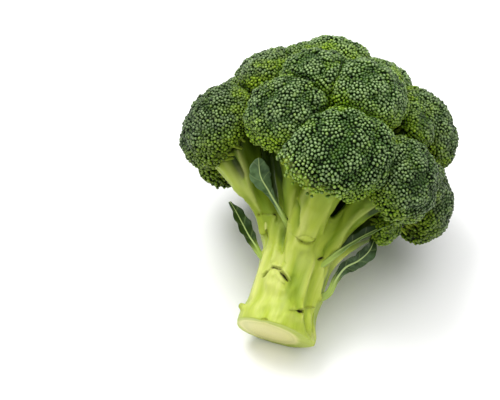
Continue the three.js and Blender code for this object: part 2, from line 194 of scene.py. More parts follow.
class Shaper:
    """Makes primitives and shapes them, with only the piece in hand selected."""

    @staticmethod
    def only(piece: Piece) -> Piece:
        """Selects one piece alone and makes it active."""
        bpy.ops.object.select_all(action="DESELECT")
        piece.select_set(True)
        bpy.context.view_layer.objects.active = piece
        return piece

    @classmethod
    def start(cls, operator: Callable, name: str, **sizes) -> Piece:
        """Adds a primitive with one of Blender's operators and names it."""
        bpy.ops.object.select_all(action="DESELECT")
        operator(**sizes)
        piece = cls.only(bpy.context.object)
        piece.name = piece.data.name = name
        return piece

    @classmethod
    @contextmanager
    def editing(cls, piece: Piece, kind: str = "FACE", chosen: Iterable[bool] | None = None) -> Iterator[None]:
        """Holds a piece in edit mode, with some or all of it selected.

        Args:
            piece: The piece.
            kind: What is selected, FACE or EDGE.
            chosen: Whether each face or edge is selected. None selects all of them.
        """
        cls.only(piece)
        bpy.ops.object.mode_set(mode="EDIT")
        bpy.ops.mesh.select_mode(type=kind)
        bpy.ops.mesh.select_all(action="SELECT" if chosen is None else "DESELECT")
        if chosen is not None:
            bpy.ops.object.mode_set(mode="OBJECT")
            (piece.data.edges if kind == "EDGE" else piece.data.polygons).foreach_set("select", chosen)
            bpy.ops.object.mode_set(mode="EDIT")
        yield
        bpy.ops.object.mode_set(mode="OBJECT")

    @classmethod
    def tube(cls, name: str, sides: int, rings: int) -> Piece:
        """A closed tube of radius 1 from 0 to 1 along Z, cut into even rings.

        Args:
            name: The piece's name.
            sides: How many sides its section has.
            rings: How many bands lie along it.

        Returns:
            The new object.
        """
        piece = cls.start(bpy.ops.mesh.primitive_cylinder_add, name, vertices=sides, radius=1, depth=1)
        piece.data.transform(Matrix.Translation((0, 0, 0.5)))
        height = cls.points(piece)[:, 2]
        along = [abs(height[a] - height[b]) > 0.5 for a, b in (edge.vertices for edge in piece.data.edges)]
        with cls.editing(piece, "EDGE", along):
            bpy.ops.mesh.subdivide(number_cuts=rings - 1)
        return piece

    @classmethod
    def ball(cls, name: str, sides: int, rings: int) -> Piece:
        """A ball of radius 1, with its poles on Z."""
        return cls.start(bpy.ops.mesh.primitive_uv_sphere_add, name, segments=sides, ring_count=rings, radius=1)

    @staticmethod
    def read(items: bpy.types.bpy_prop_collection, name: str) -> Array:
        """One vector for each vertex or face, one row each."""
        found = np.zeros(len(items) * 3)
        items.foreach_get(name, found)
        return found.reshape(-1, 3)

    @classmethod
    def points(cls, piece: Piece) -> Array:
        """A piece's vertices, one row each."""
        return cls.read(piece.data.vertices, "co")

    @classmethod
    def move(cls, piece: Piece, shape: Callable[[Array], Array]) -> Piece:
        """Moves every vertex to where a function puts it."""
        piece.data.vertices.foreach_set("co", shape(cls.points(piece)).ravel())
        piece.data.update()
        return piece

    @classmethod
    def modify(cls, piece: Piece, kind: str, **settings) -> Piece:
        """Adds one modifier and applies it."""
        cls.only(piece)
        modifier = piece.modifiers.new(kind.title(), kind)
        for name, value in settings.items():
            setattr(modifier, name, value)
        bpy.ops.object.modifier_apply(modifier=modifier.name)
        return piece

    @classmethod
    def join(cls, pieces: list[Piece], name: str) -> Piece:
        """Joins pieces into the first of them."""
        cls.only(pieces[0])
        for piece in pieces:
            piece.select_set(True)
        bpy.ops.object.join()
        pieces[0].name = pieces[0].data.name = name
        return pieces[0]

    @classmethod
    def outward(cls, piece: Piece) -> Piece:
        """Turns every face of a closed piece outwards and shades it smooth."""
        with cls.editing(piece):
            bpy.ops.mesh.normals_make_consistent(inside=False)
        bpy.ops.object.shade_smooth()
        return piece

    @staticmethod
    def store(piece: Piece, name: str, values: Array) -> None:
        """Keeps three numbers for each vertex in a named attribute."""
        layer = piece.data.attributes.new(name, "FLOAT_VECTOR", "POINT")
        layer.data.foreach_set("vector", np.asarray(values, np.float32).ravel())

    @staticmethod
    def paint(piece: Piece, finishes: Iterable[bpy.types.Material]) -> None:
        """Gives a piece its materials in place of any it had."""
        piece.data.materials.clear()
        for finish in finishes:
            piece.data.materials.append(finish)


@dataclass
class Copies:
    """A closed mesh of triangles to make many copies of."""

    points: Array
    faces: Array

    @classmethod
    def of(cls, piece: Piece) -> "Copies":
        """Takes a modelled piece of triangles as the one to repeat, and removes it."""
        points = Shaper.points(piece)
        faces = np.array([tuple(face.vertices) for face in piece.data.polygons])
        bpy.data.objects.remove(piece)
        return cls(points, faces)

    def mesh(self, name: str, points: Array, values: Array) -> Piece:
        """Makes one object of many copies.

        Args:
            name: The new object's name.
            points: Where every copy's vertices are, shaped (copies, vertices, 3).
            values: What their attribute `bud` holds, in the same shape.

        Returns:
            The object, linked to the scene.
        """
        count, size = points.shape[:2]
        corners = (self.faces[None] + np.arange(count)[:, None, None] * size).reshape(-1, 3)
        data = bpy.data.meshes.new(name)
        data.vertices.add(count * size)
        data.vertices.foreach_set("co", points.ravel())
        data.loops.add(corners.size)
        data.loops.foreach_set("vertex_index", corners.ravel())
        data.polygons.add(len(corners))
        data.polygons.foreach_set("loop_start", np.arange(0, corners.size, 3))
        data.polygons.foreach_set("use_smooth", np.ones(len(corners), bool))
        data.update(calc_edges=True)
        data.validate()
        made = bpy.data.objects.new(name, data)
        bpy.context.scene.collection.objects.link(made)
        Shaper.store(made, "bud", values)
        return made


# ---- Where everything is ----


@dataclass(frozen=True)
class Growth:
    """How one floret grows.

    `turn` and `tilt` give its way from the hub, `reach` and `size` how far it reaches and its half width as
    shares of the crown's radius, and `root` where its branch starts: a turn and a share of the way out.
    `thick` is the branch's radius as a share of the floret's, `wide` and `lean` stretch and turn its dome, and
    `bare` is how far its buds are drawn back, in degrees. With no reach it grows down to the floor.
    """

    name: str
    turn: float
    tilt: float
    reach: float | None
    size: float
    root: tuple[float, float]
    thick: float = 0.26
    wide: float = 1.0
    lean: float = 0.0
    bare: float = 12.0


GROWTHS = (
    Growth("floret_front", 276, 99, 0.98, 0.347, (264, 1), 0.36, 1.17, 22, 40),
    Growth("floret_front_left", 244, 85, 0.93, 0.30, (232, 0.7), 0.24),
    Growth("floret_front_right", 314, 97, 0.965, 0.30, (314, 0.9), 0.30),
    Growth("floret_left", 197, 92, 0.985, 0.325, (207, 1), 0.22),
    Growth("floret_upper_left", 157, 58, 0.94, 0.315, (175, 0.7)),
    Growth("floret_top", 204, 9, 0.92, 0.325, (204, 0.2), 0.3),
    Growth("floret_upper_right", 16, 22, 0.935, 0.32, (10, 0.3), 0.3),
    Growth("floret_upper_front", 282, 60, 0.93, 0.31, (285, 0.5)),
    Growth("floret_upper_middle", 251, 58, 0.905, 0.27, (250, 0.4)),
    Growth("floret_upper_side", 172, 44, 0.92, 0.30, (185, 0.5)),
    Growth("floret_right", 352, 54, 0.985, 0.33, (345, 0.9)),
    Growth("floret_lower_right", 10, 90, 1.0, 0.285, (0, 1)),
    Growth("floret_small", 341, 119, 0.76, 0.15, (342, 0.9), 0.3),
    Growth("floret_under_right", 49, 81, None, 0.355, (50, 0.95)),
    Growth("floret_under_left", 102, 81, None, 0.355, (104, 1)),
    Growth("floret_back_left", 149, 84, 0.97, 0.345, (150, 1)),
    Growth("floret_back_top", 106, 39, 0.94, 0.36, (100, 0.6), 0.3),
    Growth("floret_back_right", 34, 51, 0.97, 0.34, (38, 0.7)),
    Growth("floret_back_middle", 72, 54, 0.90, 0.26, (72, 0.7)),
    Growth("floret_inner_left", 211, 57, 0.87, 0.22, (211, 0.4)),
    Growth("floret_inner_top", 221, 37, 0.86, 0.18, (221, 0.2)),
    Growth("floret_inner_front", 303, 34, 0.86, 0.185, (303, 0.2)),
    Growth("floret_inner_right", 320, 63, 0.87, 0.19, (320, 0.5)),
    Growth("floret_inner_side", 343, 85, 0.88, 0.15, (345, 0.7)),
)


@dataclass
class Dome:
    """One floret in its place: its middle, its half width and the way it grows."""

    growth: Growth
    radius: float
    thick: float
    middle: Array
    grows: Array

    def sides(self) -> tuple[Array, Array]:
        """The floret's long way and short way, level with its rim."""
        level = Vector(unit(np.cross((0.0, 0.0, 1.0), self.grows)))
        level.rotate(Matrix.Rotation(math.radians(self.growth.lean), 3, Vector(self.grows)))
        long = np.array(level)
        return long, np.cross(self.grows, long)

    def angle(self, ways: Array) -> Array:
        """Angles in degrees between directions and the way the floret grows."""
        return np.degrees(np.arccos(np.clip(ways @ self.grows, -1, 1)))

    def edge(self, ways: Array, end: float) -> Array:
        """The angle where buds give way to bare stems: the same all round, but less towards the stalk."""
        return end - self.growth.bare * smooth(-ways[:, 2] - 0.45 * ways[:, 0], 0.35, 0.95)

    def free(self, ways: Array) -> Array:
        """Distance from the middle to the dome along directions, as if it had no neighbours."""
        angle = self.angle(ways)
        long, short = self.sides()
        wide = self.growth.wide
        across = np.hypot(ways @ long / wide, ways @ short * math.sqrt(wide))
        reach = self.radius / np.hypot(np.cos(np.radians(angle)) / FLATNESS, across)
        return reach * (1 - (1 - UNDERSIDE) * smooth(angle, 85, 165))

    def pressed(self, ways: Array, others: Iterable[Dome], raised: Array | float = 0.0) -> Array:
        """The same distance, raised by so much and then pressed on by the neighbours."""
        total = np.exp(-(self.free(ways) + raised) / CREASE_SOFTNESS)
        for other in others:
            way = other.middle - self.middle
            apart = float(np.linalg.norm(way))
            facing = ways @ way / apart
            wall = (apart**2 + self.radius**2 - other.radius**2) / (2 * apart) - GAP / 2
            with np.errstate(divide="ignore", over="ignore"):
                total += np.where(facing > 1e-6, np.exp(-wall / np.maximum(facing, 1e-6) / CREASE_SOFTNESS), 0)
        return -CREASE_SOFTNESS * np.log(total)

    def spiral(self, pitch: float) -> Array:
        """Directions spread evenly over the floret at a given spacing, along a golden spiral."""
        count = math.ceil(4 * math.pi * self.radius**2 / (math.sqrt(3) / 2 * pitch**2))
        i = np.arange(count)
        height = 1 - (2 * i + 1) / count
        across = np.sqrt(1 - height**2)
        golden = math.pi * (3 - math.sqrt(5)) * i
        long, short = self.sides()
        wide = self.growth.wide
        basis = np.stack((long * wide, short / math.sqrt(wide), self.grows * FLATNESS))
        return unit(np.stack((across * np.cos(golden), across * np.sin(golden), height), -1) @ basis)

    def spread(self, ways: Array, pitch: float, rounds: int = 6) -> Array:
        """Pushes directions apart until they stand about a pitch from each other on the dome.

        Args:
            ways: Uneven directions.
            pitch: The spacing to reach.
            rounds: How many times to push.

        Returns:
            The evener directions.
        """
        for _ in range(rounds):
            places = ways * self.free(ways)[:, None]
            one, two = np.nonzero(np.triu(ways @ ways.T > 1 - 0.5 * (pitch / (0.75 * self.radius)) ** 2, 1))
            apart = places[two] - places[one]
            far = np.maximum(np.linalg.norm(apart, axis=1, keepdims=True), 1e-6)
            push = apart / far * np.clip(0.36 * (pitch - far), 0, None)
            moved = places.copy()
            np.add.at(moved, two, push)
            np.add.at(moved, one, -push)
            ways = unit(moved)
        return ways

    def clusters(self, ways: Array) -> Array:
        """Depth below the clusters' tops: buds bunch in small clusters and those in larger ones."""
        down = np.zeros(len(ways))
        for pitch, depth, uneven in ((8.6, 0.95, 0.5), (16.0, 1.9, 1.3)):
            seeds = self.spiral(pitch)
            facing = ways @ seeds.T
            far = np.arccos(np.clip(facing.max(1), -1, 1)) * self.radius / (0.58 * pitch)
            each = uneven * (0.5 + 0.5 * np.sin(12.9 * np.arange(len(seeds)) + self.growth.turn))
            # Neighbouring clusters stand at their own heights and meet in a soft valley.
            share = np.exp(14 * (facing - facing.max(1, keepdims=True)) * (self.radius / pitch) ** 2 / 4)
            heights = (share @ each) / share.sum(1)
            down += depth * np.minimum(far**2, 1) + heights
        return down


class HeadPlan:
    """The head's layout, and the turn that lays it on the floor."""

    def __init__(self) -> None:
        """Works out the lying turn and places every floret."""
        rise = Matrix.Rotation(math.radians(LYING_RISE - 90), 3, "X")
        self.turned = np.array(rise @ Matrix.Rotation(math.radians(LYING_TURN), 3, "Z"))
        self.floor = self.turned.T @ np.array((0.0, 0.0, 1.0))
        self.domes = [self._settle(growth) for growth in GROWTHS]

    def _settle(self, growth: Growth) -> Dome:
        """Places one floret, reaching to the floor where it has no reach of its own."""
        radius = growth.size * CROWN_RADIUS
        out = heading(growth.turn, growth.tilt)
        dome = Dome(growth, radius, growth.thick * radius, HUB, out)

        def at(distance: float) -> None:
            """Puts the dome at a distance from the hub."""
            dome.middle = HUB + out * distance
            dome.grows = unit(out * (1 - FROM_FORK) + unit(dome.middle - FORK) * FROM_FORK)

        at((1.0 if growth.reach is None else growth.reach) * CROWN_RADIUS - FLATNESS * radius)
        for _ in range(8 if growth.reach is None else 0):
            down = abs(float(dome.grows @ self.floor))
            low = radius * math.hypot(FLATNESS * down, math.sqrt(1 - down**2))
            height = float((self.turned @ HUB + CUT_PLACE)[2])
            at((low - FLATTENED - height) / float(self.floor @ out))
        return dome

    def near(self, dome: Dome) -> list[Dome]:
        """The florets close enough to press on one."""

        def room(one: Dome) -> float:
            """The widest that a floret spreads."""
            return one.growth.wide * one.radius + CREASE_SOFTNESS

        return [
            other
            for other in self.domes
            if other is not dome and np.linalg.norm(other.middle - dome.middle) < room(other) + room(dome)
        ]

    def to_row(self, points: Array, above: float | None = None) -> Array:
        """Turns points of the head, in millimetres, to metres in the row's frame.

        Args:
            points: The points.
            above: The least height over the floor that they are kept at, in millimetres.

        Returns:
            The points in the row's frame.
        """
        row = (points @ self.turned.T + CUT_PLACE) * METRES
        if above is not None:
            row[..., 2] = np.maximum(row[..., 2], above * METRES)
        return row

    def from_row(self, points: Array) -> Array:
        """Metres in the row's frame as millimetres in the head's own."""
        return (points / METRES - CUT_PLACE) @ self.turned

    def way_to_row(self, ways: Array) -> Array:
        """Directions of the head in the row's frame."""
        return ways @ self.turned.T


@dataclass
class Line:
    """A smooth line through given points, measured by its length."""

    through: Array

    def __post_init__(self) -> None:
        """Walks along the line once, in short steps."""
        p = np.asarray(self.through, float)
        p = np.vstack((2 * p[0] - p[1], p, 2 * p[-1] - p[-2]))
        walked = []
        for i in range(1, len(p) - 2):
            a, b, c, d = p[i - 1 : i + 3]
            s, t, u = (math.sqrt(float(np.linalg.norm(v))) for v in (b - a, c - b, d - c))
            start = ((b - a) / s - (c - a) / (s + t) + (c - b) / t) * t
            end = ((c - b) / t - (d - b) / (t + u) + (d - c) / u) * t
            k = np.linspace(0, 1, 60, endpoint=i == len(p) - 3)[:, None]
            bend, twist = -3 * b + 3 * c - 2 * start - end, 2 * b - 2 * c + start + end
            walked.append(b + start * k + bend * k**2 + twist * k**3)
        self._steps = np.vstack(walked)
        far = np.cumsum(np.linalg.norm(np.diff(self._steps, axis=0), axis=1))
        self._length = np.concatenate(([0], far)) / far[-1]

    def at(self, along: Array) -> Array:
        """Points at shares of the line's length."""
        return np.stack([np.interp(along, self._length, self._steps[:, k]) for k in range(3)], -1)

    def ahead(self, along: Array) -> Array:
        """Unit directions along the line."""
        return unit(self.at(np.clip(along + 0.01, 0, 1)) - self.at(np.clip(along - 0.01, 0, 1)))

    def beside(self, along: Array, guide: Spot) -> tuple[Array, Array]:
        """Two unit directions square to the line, the first one square to a guide too."""
        ahead = self.ahead(along)
        side = unit(np.cross(ahead, guide))
        return side, np.cross(ahead, side)


# ---- Finishes ----


def principled(name: str) -> tuple[bpy.types.Material, Callable[..., bpy.types.Node], bpy.types.Node]:
    """A new material, the function that adds nodes to it, and its main shader."""
    made = bpy.data.materials.new(name)
    made.use_nodes = True
    return made, partial(add_node, made.node_tree), made.node_tree.nodes["Principled BSDF"]


def read(add: Callable[..., bpy.types.Node], name: str) -> bpy.types.NodeOutputs:
    """Adds the nodes that read the three numbers kept in an attribute."""
    return add("SeparateXYZ", {0: add("Attribute", attribute_name=name).outputs["Vector"]}).outputs


def glow(shader: bpy.types.Node, depth: Spot) -> None:
    """Lets light a little way into juicy flesh, as deep for red, green and blue as given in metres."""
    feed(shader, {"Subsurface Weight": 0.15, "Subsurface Radius": depth, "Subsurface Scale": 1.0})


@dataclass(frozen=True)
class BudFinish:
    """Closed flower buds: smooth waxy beads, painted near black between them as shade, with a pale waxy bloom
    on their tips that is partly a painted highlight.
    """

    gap_shade: str = "020a00"
    flesh: str = "2b4a10"
    bloom_and_highlight: str = "8ca36f"
    young_gap_shade: str = "0a1800"
    young: str = "4c6e04"
    young_bloom_and_highlight: str = "8ba722"

    def build(self) -> bpy.types.Material:
        """Makes the material. It reads `bud`: height on the bud, lowered where shade is painted, how young it
        is, and a random number.
        """
        made, add, shader = principled("Closed buds with waxy bloom")
        height, youth, random = read(add, "bud")
        # Each ramp paints shade near black at a bud's base and a pale painted highlight at its tip.
        old = add("ValToRGB", {0: height}, {0.44: self.gap_shade, 0.78: self.flesh, 1.0: self.bloom_and_highlight})
        young = add("ValToRGB", {0: height}, {0.4: self.young_gap_shade, 0.7: self.young, 1.0: self.young_bloom_and_highlight})
        colour = add("Mix", {0: youth, 6: old, 7: young}, data_type="RGBA")
        bright = add("MapRange", {0: random, 1: -0.5, 2: 1.1, 3: 0.36, 4: 1.36})
        varied = add("HueSaturation", {"Color": colour, "Value": bright})
        feed(shader, {"Base Color": varied, "Roughness": 0.4, "Specular IOR Level": 0.26})
        return made


@dataclass(frozen=True)
class HeartFinish:
    """What shows between the buds: painted shade on the dome, and pale ribs with painted shade in the grooves
    on the underside.
    """

    painted_shade: str = "0b1805"
    groove_shade: str = "1e2f08"
    rib: str = "a2b83e"

    def build(self) -> bpy.types.Material:
        """Makes the material. It reads `bud`: 1 on a rib's ridge, and 1 on the underside."""
        made, add, shader = principled("Shaded heart of a floret")
        ridge, under, _ = read(add, "bud")
        ribbed = add("ValToRGB", {0: ridge}, {0.1: self.groove_shade, 0.75: self.rib})
        base = add("Mix", {0: under, 6: linear(self.painted_shade), 7: ribbed}, data_type="RGBA")
        # Little stems about 1.6 mm across stand close together on the underside.
        grain = add("TexNoise", {"Vector": add("TexCoord").outputs["Object"], "Scale": 620.0})
        fleck = add("MapRange", {0: grain, 1: 0.3, 2: 0.7, 3: 0.72, 4: 1.15})
        mottled = add("HueSaturation", {"Color": base, "Value": fleck})
        feed(shader, {"Base Color": mottled, "Roughness": 0.7, "Specular IOR Level": 0.12})
        return made


@dataclass(frozen=True)
class FleshFinish:
    """Smooth stalk skin: pale yellow-green, slightly see-through, with faint long fibres, brown scars, and
    painted highlights and shade.
    """

    # The pale colour is the stalk's own pale base and also its painted highlights.
    pale: str = "cfd47c"
    flesh: str = "acbc40"
    green: str = "7b9522"
    # The deep colour is partly the stalk's green near the crown and partly painted shade.
    deep: str = "2f4407"
    bruise: str = "6f7620"
    # The scar colour is the scars' own brown and also the painted shade in corners.
    scar: str = "241f08"

    def build(self) -> bpy.types.Material:
        """Makes the material. It reads `grain`, where fibres run, and `tone`: greenness with painted shade,
        scar stains with painted shade in corners, and painted highlights.
        """
        made, add, shader = principled("Smooth stalk skin")
        grain = add("Attribute", attribute_name="grain").outputs["Vector"]
        greener_and_shade, scar, pale = read(add, "tone")
        # Broad bands follow the flutes, 5 to 8 mm across; fibres are 0.6 to 1 mm across.
        bands = add("TexNoise", {"Vector": grain, "Scale": 0.17, "Detail": 2.0})
        fibres = add("TexNoise", {"Vector": grain, "Scale": 1.1, "Detail": 3.0})
        swing = add("MapRange", {0: bands, 1: 0.3, 2: 0.7, 3: -0.14, 4: 0.18})
        lean = add("Math", {0: swing, 1: greener_and_shade}, operation="ADD")
        base = add("ValToRGB", {0: lean}, {0.0: self.pale, 0.3: self.flesh, 0.66: self.green, 1.0: self.deep})
        streak = add("MapRange", {0: fibres, 1: 0.3, 2: 0.75, 3: 0.92, 4: 1.06})
        lined = add("HueSaturation", {"Color": base, "Value": streak})
        # Painted highlights: the pale channel lightens ridges, pads and a slit towards the pale colour.
        highlighted = add("Mix", {0: pale, 6: lined, 7: linear(self.pale)}, data_type="RGBA")
        # A scar is dark only along its middle, in crumbs about 1 mm across, with a dull green bruise round it;
        # the same channel also paints shade in the corners where branches and leaves leave the stalk.
        place = add("TexCoord").outputs["Object"]
        crumbs = add("TexNoise", {"Vector": place, "Scale": 900.0, "Detail": 2.0})
        broken = add("Math", {0: crumbs, 1: -0.6, 2: scar}, operation="MULTIPLY_ADD")
        wide = add("Math", {0: scar, 1: 0.3}, operation="POWER")
        wider = add("Math", {0: crumbs, 1: -0.7, 2: wide}, operation="MULTIPLY_ADD")
        bruise = add("MapRange", {0: wider, 1: 0.0, 2: 0.6, 3: 0.0, 4: 0.75})
        core = add("MapRange", {0: broken, 1: 0.3, 2: 0.62, 3: 0.0, 4: 1.0})
        bruised = add("Mix", {0: bruise, 6: highlighted, 7: linear(self.bruise)}, data_type="RGBA")
        scarred = add("Mix", {0: core, 6: bruised, 7: linear(self.scar)}, data_type="RGBA")
        bump = add("Bump", {"Height": fibres, "Strength": 0.25, "Distance": 0.0004})
        feed(shader, {"Base Color": scarred, "Normal": bump, "Roughness": 0.42, "Specular IOR Level": 0.18})
        glow(shader, (0.003, 0.004, 0.001))
        return made


@dataclass(frozen=True)
class CutFinish:
    """The cut end: moist cream pith inside a thin green ring of fibres and a brighter rind."""

    pith: str = "e0da9c"
    inner: str = "d8d488"
    ring: str = "cac97a"
    rind: str = "a9b934"

    def build(self, plan: HeadPlan) -> bpy.types.Material:
        """Makes the material, centred on the cut.

        Args:
            plan: The head's layout, which says where the cut is and which way it faces.

        Returns:
            The material.
        """
        made, add, shader = principled("Fresh cut pith")
        # The pith lies off the middle, towards the floor, so the rind is thickest above it.
        centre = plan.to_row(np.array((-2.4, 1.8, CUT_DROP)))
        turned = Matrix(plan.turned.tolist()).to_euler()
        place = add("TexCoord").outputs["Object"]
        placing = {"Vector": place, "Location": centre, "Rotation": turned}
        centred = add("Mapping", placing, vector_type="TEXTURE")
        wobble = add("TexNoise", {"Vector": centred, "Scale": 90.0})
        x, y, _ = add("SeparateXYZ", {0: centred}).outputs
        far = add("VectorMath", {0: add("CombineXYZ", {0: x, 1: y})}, operation="LENGTH")
        shifted = add("Math", {0: wobble, 1: 0.004, 2: far}, operation="MULTIPLY_ADD")
        share = add("Math", {0: shifted, 1: STALK_RADIUS * METRES + 0.002}, operation="DIVIDE")
        stops = {0.0: self.pith, 0.55: self.inner, 0.68: self.ring, 0.75: self.inner, 0.86: self.rind}
        rings = add("ValToRGB", {0: share}, stops)
        # Cut fibre ends, about 0.7 mm across.
        ends = add("TexVoronoi", {"Vector": centred, "Scale": 1400.0})
        speck = add("MapRange", {0: ends, 1: 0.0, 2: 0.7, 3: 0.94, 4: 1.05})
        final = add("HueSaturation", {"Color": rings, "Value": speck})
        feed(shader, {"Base Color": final, "Roughness": 0.4})
        glow(shader, (0.004, 0.004, 0.002))
        return made


@dataclass(frozen=True)
class LeafFinish:
    """Brassica leaf: waxy blue-green blade with a bloom, and a pale juicy rib and veins."""

    blade: str = "5a7749"
    # The dark colour shows where the bloom is rubbed off and as painted shade.
    deep: str = "22390f"
    pale: str = "7f9c4c"
    rib: str = "b3c77f"
    stem: str = "9db551"

    def build(self) -> bpy.types.Material:
        """Makes the material.

        It reads `blade`: the place along, blade or stalk, and the distance from the rib in mm; and `tint`: how
        deep the painted shade on the blade is there, how pale the blade is, and the rib's half width in mm.
        """
        made, add, shader = principled("Waxy leaf blade")
        along, spread, beside = read(add, "blade")
        deep, pale, ribbed = read(add, "tint")
        # The bloom is rubbed off in patches about 3 mm across, and the painted shade from `tint` pulls the
        # blade further towards the dark colour.
        mottle = add("TexNoise", {"Vector": add("TexCoord").outputs["Object"], "Scale": 300.0, "Detail": 3.0})
        cover = add("Math", {0: mottle, 1: deep}, operation="SUBTRACT")
        waxy = add("ValToRGB", {0: cover}, {0.05: self.deep, 0.55: self.blade})
        base = add("Mix", {0: pale, 6: waxy, 7: linear(self.pale)}, data_type="RGBA")
        # The rib's pale edge is 0.15 mm wide.
        away = add("Math", {0: beside}, operation="ABSOLUTE")
        edge = add("Math", {0: ribbed, 1: 0.15}, operation="ADD")
        rib = add("MapRange", {0: away, 1: ribbed, 2: edge, 3: 1.0, 4: 0.0})
        # Side veins leave the rib every 4 mm or so and sweep towards the tip.
        swept = add("Math", {0: away, 1: -0.22, 2: along}, operation="MULTIPLY_ADD")
        wave = add("Math", {0: swept, 1: 1.0}, operation="PINGPONG")
        vein = add("MapRange", {0: wave, 1: 0.0, 2: 0.12, 3: 0.18, 4: 0.0})
        lines = add("Math", {0: rib, 1: vein}, operation="MAXIMUM")
        veined = add("Mix", {0: lines, 6: base, 7: linear(self.rib)}, data_type="RGBA")
        stalked = add("Mix", {0: spread, 6: linear(self.stem), 7: veined}, data_type="RGBA")
        feed(shader, {"Base Color": stalked, "Roughness": 0.48, "Specular IOR Level": 0.35})
        return made


@dataclass(frozen=True)
class TableFinish:
    """A plain matt white studio table."""

    white: str = "fbfbfb"

    def build(self) -> bpy.types.Material:
        """Makes the material."""
        made, _, shader = principled("Matt white table")
        feed(shader, {"Base Color": linear(self.white), "Roughness": 0.9, "Specular IOR Level": 0.1})
        return made


# ---- Stalk and branches ----


@dataclass(frozen=True)
class Scar:
    """A knuckle where a leaf stalk was trimmed: its turn, height, half width and how far it stands out."""

    turn: float
    height: float
    wide: float
    proud: float


@dataclass(frozen=True)
class Mark:
    """A line on the skin: where it runs, its half width, how far it is raised, and how it is toned.

    The stain gives how brown a scar is, or how dark a corner is painted as shade; the pale amount paints a
    highlight on a ridge, pad or slit; the shade amount paints shade in a hollow; and `taper` how slim its ends
    are.
    """

    through: tuple[Spot, ...]
    half: float
    raised: float
    stain_and_shade: float = 0.0
    pale: float = 0.0
    painted_shade: float = 0.0
    taper: float = 0.75

    def weigh(self, points: Array, normals: Array) -> Array:
        """How strongly the mark shows at points on the skin, from 0 to 1.

        Args:
            points: Places on the skin.
            normals: The skin's outward directions there.

        Returns:
            One share for each point.
        """
        spots = np.array(self.through, float)
        half = np.array([self.half])
        if len(spots) > 1:
            along = np.linspace(0, 1, 8 * len(spots))
            spots = Line(spots).at(along)
            half = self.half * (1 - self.taper * np.abs(2 * along - 1) ** 2.5)
        away = points[:, None] - spots[None]
        deep = np.clip(np.einsum("nkj,nj->nk", away, normals), -3.0, 3.0)
        beside = np.sqrt(np.maximum((away**2).sum(-1) - deep**2, 0)) / half
        return np.exp(-(beside.min(1) ** 2))


def lid(turn: float, height: float, wide: float, arch: float) -> tuple[Spot, ...]:
    """An arched line across the stalk, at a turn and a height, drawn at the waist's radius."""
    far, spots = 0.92 * STALK_RADIUS, []
    for share in (-1.0, -0.5, 0.0, 0.5, 1.0):
        a = math.radians(turn) + share * wide / STALK_RADIUS
        spots.append((far * math.cos(a), far * math.sin(a), height + arch * (1 - share**2)))
    return tuple(spots)
